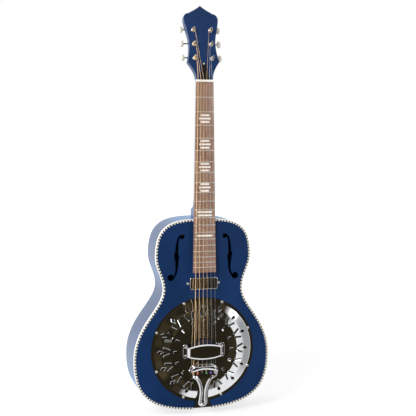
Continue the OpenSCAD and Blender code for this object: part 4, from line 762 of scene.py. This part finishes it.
# %% Ball ends
barrel_line = eased([[0.5, -1.8], [1.8, -1.8], [2.1, -1.3], [1.6, 0], [2.1, 1.3], [1.8, 1.8], [0.5, 1.8],
                     [0.5, -1.8]], 0.3, 3)
dyes = ("#c9a45a", "#d8493f", "#1b1b1d", "#3f9a63", "#7a5fd0", "#d5d7da")
for k, dye in enumerate(dyes):
    dyed, tree, shader, place = finish_of(f"dyed_brass_{k + 1}", Metallic=0.35, Base_Color=linear(dye))
    rub = add(tree, "ShaderNodeTexNoise", {"Vector": place, "Scale": 700.0, "Detail": 3.0})
    dull = add(tree, "ShaderNodeMapRange", {"Value": rub.outputs["Fac"], 1: 0.3, 2: 0.7, 3: 0.2, 4: 0.42})
    tree.links.new(dull.outputs["Result"], shader.inputs["Roughness"])
    turned_barrel = lathe(barrel_line, 32)[..., [2, 0, 1]] + [slot_x[k], -55.5, 18]
    put(f"ball_end_{k + 1}", [at_bridge(turned_barrel)], dyed)

# %% [markdown]
# The jack doubles as the strap button on the tail: one turned profile, with the plug's bore drawn as its last part.
# The pickup's cover is a drawn metal cap, a plate with rounded corners and a rounded upper edge.

# %% Jack and pickup cover
JACK_DOWN, CAP_HALF, CAP_TALL, CAP_CORNER = 40, 34.75, 14.25, 3.5
jack_line = eased([[0, 30], [6, 30], [6, 21.5], [9, 21.5], [9, 18.5], [6, 18.5], [6, -1.8], [8.5, -1.8], [8.5, -3.8],
                   [5.4, -3.8], [5.4, -9.8], [7.2, -10.8], [7.2, -12.8], [3.25, -12.8], [3.25, 13.2], [0, 13.2]],
                  0.5, 4)
put("tail_jack", [lathe(jack_line, 64) + [0, TOP_Y + JACK_DOWN, TAIL_Z]], nickel, replaces=("endpin_jack",))
PICKUP_UP = -BOARD_LEN * cos(radians(NECK_LEAN)) - 28 - BRIDGE_Z
corner_a = np.linspace(pi / 2, 0, 9)
upper = CAP_CORNER * (np.stack([np.cos(corner_a), np.sin(corner_a)], -1) - 1) + [CAP_HALF, CAP_TALL]
cap = closed(np.concatenate([[[0, CAP_TALL]], upper, upper[::-1] * [1, -1], [[0, -CAP_TALL]]]))
put("pickup_cap", [ring_plate(cap + [0, PICKUP_UP], soft(-8, 6.8, 1.5, 6), at_bridge)], chrome,
    replaces=("pickup_cover",))

# %% [markdown]
# ## Neck
# The neck is carved from one piece: a rounded shaft that deepens to the heel, and a thin headstock that leans
# back. Its section is a superellipse, a half round with slightly squarer shoulders, whose half width and depth change
# along the neck. The heel's depth follows a quarter ellipse, so the shaft sweeps into it without a break. A plain
# wedge under the end of the fretboard carries it over the top.

# %% Neck shaft and heel
NUT_WIDE, BOARD_WIDE, BOARD_THICK = 42.2, 56.4, 6
SHAFT_ROUND, HEEL_START, HEEL_RUN = 0.86, 260.3, 46


def board_half(s):
    """Half width of the fretboard at a distance from the nut: a straight taper."""
    return (NUT_WIDE + (BOARD_WIDE - NUT_WIDE) * s / BOARD_LEN) / 2


a = np.linspace(pi, 0, 41)
arc_x = np.sign(np.cos(a)) * np.abs(np.cos(a)) ** SHAFT_ROUND
arc_y = np.maximum(np.sin(a), 0) ** SHAFT_ROUND


def shaft_rings(half, top, depth, z):
    """Rings of the neck: half width times a squarish cosine, depth times a squarish sine, closed along the top."""
    ring = np.stack([half[:, None] * arc_x, top[:, None] + depth[:, None] * arc_y, z[:, None] + 0 * arc_x], -1)
    return np.concatenate([ring, ring[:, :1]], 1)


t = np.linspace(1, 0, 25)[:-1]
ease = t * t * (3 - 2 * t)
volute = shaft_rings(NUT_WIDE / 2 - 3 * t, 4.2 + 30 * t * tan(radians(HEAD_LEAN)), 16.3 * (1 - ease) + 11.4 * ease,
                     5 + 30 * t)
heel_s = HEEL_START + HEEL_RUN * np.sin(np.linspace(0, pi / 2, 33)[1:])
s = np.concatenate([[-5, 0], np.linspace(6, HEEL_START, 30), heel_s, [312, 332]])
u = np.clip((s - HEEL_START) / HEEL_RUN, 0, 1)
depth = np.where(s < HEEL_START, 14.5 + 2.5 * s / HEEL_START, 17 + 55 * (1 - np.sqrt(1 - u * u)))
shaft = shaft_rings(board_half(np.maximum(s, 0)), BOARD_THICK + 0 * s, depth, -s)
s = np.array([331.3, BOARD_LEN])
upper = on_neck(np.stack([np.stack([k * (board_half(s) - 0.4), BOARD_THICK + 0 * s, -s], -1) for k in (1, -1)], 1))
lower = upper[:, ::-1] * [1, 0, 1] + [0, TOP_Y, 0]
ramp_under = poled(np.concatenate([upper, lower, upper[:, :1]], 1))
put("neck_shaft", [on_neck(poled(np.concatenate([volute, shaft]))), ramp_under], blue_lacquer, replaces=("neck",))

# %% [markdown]
# The headstock is sawn to its outline, faced and lacquered, so it is a plate with two lightly rounded edges. The
# outline's right half is four smooth curves from the nut to the ear and one more to the peak.

# %% Headstock
head_half = np.concatenate([
    [[0, -1]], bezier([[20.7, -1], [20.7, 18], [30, 32], [39.4, 45]], 20),
    bezier([[39.4, 45], [36, 58], [32.8, 72], [32.8, 90]], 20)[1:],
    bezier([[32.8, 90], [32.8, 110], [40.5, 128], [42.9, 148]], 20)[1:],
    bezier([[42.9, 148], [44.9, 160], [37.9, 167.5], [29, 167.5]], 20)[1:],
    bezier([[25.5, 170.5], [18, 173.5], [8, 180.5], [0, 187]], 16)])
head_line = closed(head_half[::-1])
HEAD_THICK = 15
edge = soft(-HEAD_THICK / 2, 0, 1.0)[1:]
both = np.concatenate([(edge * [1, -1] - [0, HEAD_THICK])[::-1], edge])


def on_face(p):
    """Points of the headstock's face: across, up the headstock, and height in front of the face."""
    return on_head(np.stack([p[..., 0], -p[..., 2], p[..., 1]], -1))


put("headstock", [ring_plate(head_line, both, on_face)], blue_lacquer)

# %% [markdown]
# A small black bell covers the end of the truss rod, the steel bar that keeps the neck straight. It is one more
# plate, thinner and with a smaller edge. The fretboard, its frets and inlays, the nut and the tuners' plates keep the
# shape that they came with, and only get their finish.

# %% Truss rod cover and the neck's finishes
BELL_THICK = 1.6
bell_a = radians(1) * np.linspace(10, 90, 10)
bell_half = np.concatenate([[[0, 0.5]], bezier([[11, 0.5], [9, 14], [7.3, 22], [5.9, 34]], 16),
                            np.stack([5.3 * np.cos(bell_a), 37.7 + 5.3 * np.sin(bell_a)], -1)])
put("truss_rod_bell", [ring_plate(closed(bell_half[::-1]), soft(0, BELL_THICK, 0.5), on_face)], black_plastic,
    replaces=("truss_rod_cover",))
coated({"fretboard": rosewood, "frets": satin_nickel, "fret_inlays": pearl, "nut": bone, "truss_rod": nickel,
        "tuner_plates": nickel})

# %% [markdown]
# ## Tuners
# Six open-geared tuners hold the strings. A key's shaft carries a worm, a single screw thread that drives a small
# gear on the post, so that fourteen turns of the key make one turn of the post. Thread and shaft are one surface:
# the radius is a function of the angle and the place along the shaft.

# %% Tuner parts
FIRST_POST, POST_STEP = 53, 35.5
GEAR_MODULE, ROOT_R, TIP_R = 0.8, 1.5, 3.0


def tuner(k):
    """Side and height of a tuner's post on the headstock: three up the left, then three down the right."""
    return (-1, FIRST_POST + POST_STEP * k) if k < 3 else (1, FIRST_POST + POST_STEP * (5 - k))


def at_post(k, p):
    """Points of a tuner's own frame: its origin lies on the post's axis in the headstock's face."""
    side, s = tuner(k)
    return on_head(np.asarray(p, float) + [side * POST_OUT, 0, s])


def worm_surface(side):
    """Shaft with its thread: the radius rises to a tooth where place and angle agree.

    They agree where the place along the shaft is the angle's share of the lead, the thread's advance in one turn.
    """
    lead = pi * GEAR_MODULE
    x = np.concatenate([[-8.7], np.linspace(-8.6, -6.25, 3), np.linspace(-6.2, 6.2, 125), np.linspace(6.25, 25.5, 6)])
    a = np.linspace(0, 2 * pi, 41)
    off = np.abs((x[:, None] * side - lead * a / (2 * pi) + lead / 2) % lead - lead / 2)
    tooth = np.clip(1.2 + 1.8 * (0.48 - off) / 0.28, ROOT_R, TIP_R)
    fade = np.clip((5.6 - np.abs(x)) / 0.7, 0, 1)[:, None]
    r = np.where(np.abs(x)[:, None] > 6.21, 1.9, ROOT_R + (tooth - ROOT_R) * fade)
    x = x[:, None] * side + 0 * a
    return poled(np.stack([x, r * np.sin(a), -r * np.cos(a)], -1))


def button_surface():
    """A fuller ellipsoid: sine and cosine of two angles, each raised to 0.8 so that the sides swell."""
    u, a = np.linspace(-pi / 2, pi / 2, 29)[:, None], np.linspace(0, 2 * pi, 49)
    w, c, s = np.maximum(np.cos(u), 0) ** 0.8, np.cos(a), np.sin(a)
    return np.stack([5.3 * np.sin(u) + 0 * a, 3.5 * w * np.sign(c) * np.abs(c) ** 0.8,
                     8.5 * w * np.sign(s) * np.abs(s) ** 0.8], -1)


# %% [markdown]
# Each tuner is the same set of pieces at another post. The post turns on its own body and the worm and its button on
# the key's, so every piece is told which body it rides on. The cut gears keep the shape that they came with.

# %% Six tuners
SHAFT_AT, BUTTON_OUT = [0, 20.2, 8.0], 25.5
post_line = eased([[0, -15.1], [2.5, -15], [3, -14.5], [3, -13], [2.65, -12.4], [2.65, -3.4], [3, -3], [3, 18.2],
                   [1.95, 18.2], [1.95, 22.2], [3.6, 22.2], [3.6, 23.3], [3.1, 23.6], [0, 23.6]], 0.25, 3)
bushing_line = eased([[3.05, -1.6], [4.5, -1.6], [5.1, -1], [5.1, 0], [4.3, 0], [4.3, 9], [3.05, 9], [3.05, -1.6]],
                     0.25, 3)
for k in range(6):
    side, n = tuner(k)[0], k + 1
    put(f"string_post_{n}", [at_post(k, lathe(post_line, 40)[..., [0, 2, 1]])], nickel, f"post_{n}", (f"post_{n}",))
    put(f"worm_shaft_{n}", [at_post(k, worm_surface(side) + SHAFT_AT)], nickel, f"key_{n}", (f"worm_{n}",))
    put(f"key_button_{n}", [at_post(k, button_surface() + SHAFT_AT + [side * BUTTON_OUT, 0, 0])], cream_plastic,
        f"key_{n}", (f"button_{n}",))
coated({f"gear_{k + 1}": brass for k in range(6)})
put("post_bushings", [at_post(k, lathe(bushing_line, 40)[..., [0, 2, 1]]) for k in range(6)], satin_nickel,
    replaces=("tuner_bushings",))

# %% [markdown]
# ## Strings
# A string is a tube along a path: from its ball over saddle and nut to its post, where it is laid three quarters of
# the way round. The turns above belong to the post and turn with it. A ring of points stands square to the path at
# each of its points, held upright by a direction that the path never takes.

# %% Strings and their turns
def tube(path, r, up, sides=10):
    """A tube round a path, closed at both ends, and its UV: distance along the path and angle round it."""
    run = np.gradient(path, axis=0)
    run /= np.linalg.norm(run, axis=1, keepdims=True)
    across = np.cross(run, up)
    across /= np.linalg.norm(across, axis=1, keepdims=True)
    over = np.cross(across, run)
    a = np.linspace(0, 2 * pi, sides + 1)[None, :, None]
    rings = poled(path[:, None] + r * (np.cos(a) * across[:, None] + np.sin(a) * over[:, None]))
    far = run_of(path)
    far = np.concatenate([far[:1], far, far[-1:]])
    return rings, np.stack(np.broadcast_arrays(far[:, None], a[0, :, 0][None]), -1)


LAY_UP, NUT_UP, SADDLE_UP = 4.6, 1.6, 23.3
head_up = on_head(np.array([0, -1.0, 0])) - on_head(np.array([0, 0.0, 0]))
for k, (d, turns) in enumerate(zip(STRING_D, (2.5, 2.5, 2.5, 3, 4, 4))):
    side, s = tuner(k)
    tail_x, saddle_x, nut_x = np.array([TAIL_SPREAD, SADDLE_SPREAD, NUT_SPREAD]) * (k / 5 - 0.5)
    lay = radians(1) * np.linspace(0, 270, 55)
    r = 3.3 + d / 2
    laid = on_head(np.stack([side * (POST_OUT - r * np.cos(lay)), -LAY_UP - d / 2 + 0 * lay, s + r * np.sin(lay)], -1))
    ends = np.concatenate([
        at_bridge([[tail_x, -55, 17.8], [tail_x, -47, 17.8], [tail_x, -36.7, 18.3],
                   [saddle_x, -1.5, SADDLE_UP + d / 2], [saddle_x, 1.5, SADDLE_UP + d / 2]]),
        on_neck([[nut_x, -NUT_UP - d / 2, 0], [nut_x, -NUT_UP - d / 2, 5.4]])])
    path = np.concatenate([eased(np.concatenate([ends, laid[:1]]), 1.2, 4)[:-1], laid])
    metal = bronze_wound if k < 4 else plain_steel
    rings, uv = tube(path, d / 2, head_up)
    put(f"string_{k + 1}", [rings], metal, uvs=[uv], replaces=("strings",) if k == 0 else ())
    a = np.linspace(0, 2 * pi * turns, int(turns * 48) + 1)
    r, pitch = 3.15 + d / 2, d + 0.5
    coil = np.stack([-side * r * np.cos(a), -LAY_UP - d / 2 - pitch - pitch * a / (2 * pi), r * np.sin(a)], -1)
    first, last = coil[0] - coil[1], coil[-1] - coil[-2]
    coil = np.concatenate([[coil[0] + d * first / np.linalg.norm(first)], coil,
                           [coil[-1] + d * last / np.linalg.norm(last)]])
    rings, uv = tube(coil, d / 2, np.array([0, -1.0, 0]))
    put(f"string_turns_{k + 1}", [at_post(k, rings)], metal, f"post_{k + 1}", (f"winding_{k + 1}",), uvs=[uv])

# %% [markdown]
# Screws have a low dome and one slot. A head is a small grid over radius and angle whose height falls like a flat
# ellipse, with the slot pressed in; each is turned a little differently, as a hand leaves them. They stand round the
# coverplate, on the palm rest's feet, beside the pickup, on the tail, behind the headstock and in the black bell.

# %% Screws
def screw_head(r, high, twist, at, look=1):
    """A domed head at a place: height falls with the radius as on a flat ellipse, and dips in a slot across the middle.

    look is 1 where the head looks up the third axis and -1 where it looks down it.
    """
    rho = np.concatenate([[0], np.linspace(0.12, 1, 12), [1, 0]])[:, None]
    a = np.linspace(0, 2 * pi, 49)
    dome = high * (0.25 + 0.75 * np.sqrt(np.maximum(1 - (0.97 * rho) ** 2, 0)))
    slot = (np.abs(rho * np.sin(a)) < 0.13) & (rho < 0.93)
    h = np.where(slot, 0.45 * high, dome)
    h[-2:] = 0
    return np.stack([r * rho * np.cos(a + twist), r * rho * np.sin(a + twist), look * h], -1) + np.asarray(at, float)


RIM_SCREWS, RIM_SCREW_R, LARGE, SMALL = 8, 126, 1.8, 1.2
screws = []
for k in range(RIM_SCREWS):
    t = radians(360 / RIM_SCREWS * (k + 0.5))
    screws.append(at_bridge(screw_head(3, LARGE, 0.7 * k, [RIM_SCREW_R * cos(t), RIM_SCREW_R * sin(t), 1])))
for k, (sx, sy) in enumerate([(-1, -1), (-1, 1), (1, -1), (1, 1)]):
    screws.append(at_bridge(screw_head(2.5, LARGE, 1.1 * k, [FOOT_OUT * sx, 10.2 * sy, FOOT_TOP])))
for k, sx in enumerate((-1, 1)):
    screws.append(at_bridge(screw_head(2.8, LARGE, 0.9 * k, [39 * sx, PICKUP_UP, 0])))
    screws.append(screw_head(3, LARGE, 0.4 + k, [15 * sx, TOP_Y + 16, TAIL_Z - TAIL_THICK], -1))
    for i, s in enumerate((42.5, 74.75, 110.25, 140.5)):
        screws.append(on_face(screw_head(2, SMALL, 0.8 * i + k, [POST_OUT * sx, s, -HEAD_THICK - 1], -1)))
screws.append(on_face(screw_head(2, SMALL, 0.5, [0, 39.6, BELL_THICK])))
put("slotted_screws", screws, satin_nickel, replaces=("screws",))

# %% [markdown]
# ## Studio
# The camera stands at the photograph's place: a little left of the guitar, two metres away, with a long lens that
# keeps the sides of the body nearly parallel.

# %% Camera
camera = bpy.data.objects.new("camera", bpy.data.cameras.new("camera"))
camera.location = (-0.56309, -1.96583, -0.09786)
camera.rotation_euler = [radians(v) for v in (84.2917, -0.6149, -16.2115)]
camera.data.sensor_width, camera.data.lens = 36.0, 73.49
bpy.context.scene.collection.objects.link(camera)
bpy.context.scene.camera = camera
print("camera at", tuple(round(v, 3) for v in camera.location))

# %% [markdown]
# Polished metal shows the room it stands in, so the room has what a studio has in front of the work: the dark side
# where the camera stands, with soft brown patches, bounded at the right, the left, above and below by pale screens.
# Each bound is a ramp from one to nothing along a direction, and their product is the dark side.

# %% Dark side of the room
world = bpy.data.worlds.new("studio")
bpy.context.scene.world = world
world.use_nodes = True
tree = world.node_tree
tree.nodes.clear()
look = add(tree, "ShaderNodeTexCoord").outputs["Generated"]
way = add(tree, "ShaderNodeSeparateXYZ", {"Vector": look})
rightward = add(tree, "ShaderNodeVectorMath", {0: look, 1: (1, 0, -0.2)}, operation="DOT_PRODUCT")
upward = add(tree, "ShaderNodeVectorMath", {0: look, 1: (-0.3, 0, 1)}, operation="DOT_PRODUCT")
bounds = ((way.outputs["Y"], -0.4, -0.3, 1.0, 0.0),
          (rightward.outputs["Value"], 0.5, 0.57, 1.0, 0.0), (way.outputs["X"], -0.8, -0.7, 0.0, 1.0),
          (way.outputs["Z"], 0.62, 0.72, 1.0, 0.0), (upward.outputs["Value"], -0.77, -0.72, 0.0, 1.0))
shade = 1.0
for along_way, start, end, before, after in bounds:
    bound = add(tree, "ShaderNodeMapRange", {"Value": along_way, 1: start, 2: end, 3: before, 4: after})
    shade = add(tree, "ShaderNodeMath", {0: shade, 1: bound.outputs[0]}, operation="MULTIPLY").outputs[0]
patches = add(tree, "ShaderNodeTexNoise", {"Vector": look, "Scale": 5.0, "Detail": 2.0})
wall_tint = add(tree, "ShaderNodeValToRGB", {"Fac": patches.outputs["Fac"]})
ramp(wall_tint, (0.45, "#2b261b"), (0.75, "#5c5039"))
far_right = add(tree, "ShaderNodeMapRange", {"Value": way.outputs["X"], 1: 0.62, 2: 0.72, 3: 0.0, 4: 1.0})
screen = add(tree, "ShaderNodeMix", {"Factor": far_right.outputs[0], 6: linear("#ffffff"), 7: linear("#a9abab")},
             data_type="RGBA")
room = add(tree, "ShaderNodeMix", {"Factor": shade, 6: screen.outputs[2], 7: wall_tint.outputs["Color"]},
           data_type="RGBA")
print("room has", len(tree.nodes), "nodes")

# %% [markdown]
# Only mirror reflections see that room. The camera sees plain white, and everything else is lit evenly by a white of
# 0.6. Three soft boxes add the form: one high at the left, a weak one at the right, and one beside the guitar that
# grazes its side.

# %% Light
ray = add(tree, "ShaderNodeLightPath")
mirrored = add(tree, "ShaderNodeMath", {0: ray.outputs["Is Glossy Ray"], 1: ray.outputs["Is Transmission Ray"]},
               operation="MAXIMUM")
plain = add(tree, "ShaderNodeBackground", {"Color": linear("#ffffff"), "Strength": 0.6})
white = add(tree, "ShaderNodeBackground", {"Color": linear("#ffffff"), "Strength": 1.0})
seen = add(tree, "ShaderNodeBackground", {"Color": room.outputs[2], "Strength": 1.0})
first_mix = add(tree, "ShaderNodeMixShader", {0: mirrored.outputs[0], 1: plain.outputs[0], 2: seen.outputs[0]})
second_mix = add(tree, "ShaderNodeMixShader",
                 {0: ray.outputs["Is Camera Ray"], 1: first_mix.outputs[0], 2: white.outputs[0]})
add(tree, "ShaderNodeOutputWorld", {"Surface": second_mix.outputs[0]})


def soft_lamp(name, place, aim, size, power):
    """A square soft box that points from its place to an aim."""
    lamp = bpy.data.lights.new(name, "AREA")
    lamp.size, lamp.energy = size, power
    box = bpy.data.objects.new(name, lamp)
    box.location = place
    way = np.array(aim, float) - np.array(place, float)
    box.rotation_euler = (np.arctan2(np.hypot(way[0], way[1]), -way[2]), 0, np.arctan2(-way[0], way[1]))
    bpy.context.scene.collection.objects.link(box)
    print(name, power, "W")


soft_lamp("key_light", (-1.8, -1.6, 1.0), (0, 0, -0.35), 0.7, 48)
soft_lamp("fill_light", (2.0, -1.7, 0.2), (0, 0, -0.4), 1.0, 16)
soft_lamp("side_light", (-2.2, 0.4, -0.1), (-0.12, 0.05, -0.6), 1.2, 30)

# %% [markdown]
# The floor is a sheet of white paper just under the guitar. It takes the guitar's shadow; a glow that only the camera
# sees, stronger with the distance, lets it run into the white behind. Mirror reflections pass through it to the room.

# %% Floor
FLOOR_HALF, FLOOR_GAP = 6, 0.0005
floor_z = cad_box[0][2] - FLOOR_GAP
corners = [(FLOOR_HALF * x, FLOOR_HALF * y, floor_z) for x, y in ((-1, -1), (1, -1), (1, 1), (-1, 1))]
floor_mesh = bpy.data.meshes.new("floor")
floor_mesh.from_pydata(corners, [], [[0, 1, 2, 3]])
floor = bpy.data.objects.new("floor", floor_mesh)
bpy.context.scene.collection.objects.link(floor)
paper, tree, shader, place = finish_of("white_paper_floor", Roughness=0.9, Base_Color=linear("#959595"))
ray = add(tree, "ShaderNodeLightPath")
away = add(tree, "ShaderNodeVectorMath", {0: place}, operation="LENGTH")
level = add(tree, "ShaderNodeMapRange", {"Value": away.outputs["Value"], 1: 1.0, 2: 2.4, 3: 0.72, 4: 1.0})
glow = add(tree, "ShaderNodeMath", {0: ray.outputs["Is Camera Ray"], 1: level.outputs[0]}, operation="MULTIPLY")
lit = add(tree, "ShaderNodeEmission", {"Color": linear("#ffffff"), "Strength": glow.outputs[0]})
glowing = add(tree, "ShaderNodeAddShader", {0: shader.outputs[0], 1: lit.outputs[0]})
clear = add(tree, "ShaderNodeBsdfTransparent")
unmirrored = add(tree, "ShaderNodeMixShader",
                 {0: ray.outputs["Is Glossy Ray"], 1: glowing.outputs[0], 2: clear.outputs[0]})
tree.links.new(unmirrored.outputs[0], tree.nodes["Material Output"].inputs["Surface"])
floor_mesh.materials.append(paper)
print("floor at", round(floor_z, 4), "m")

# %% [markdown]
# Colours go to the picture as they are, without a film curve.

# %% Finish
bpy.context.scene.view_settings.view_transform = "Standard"
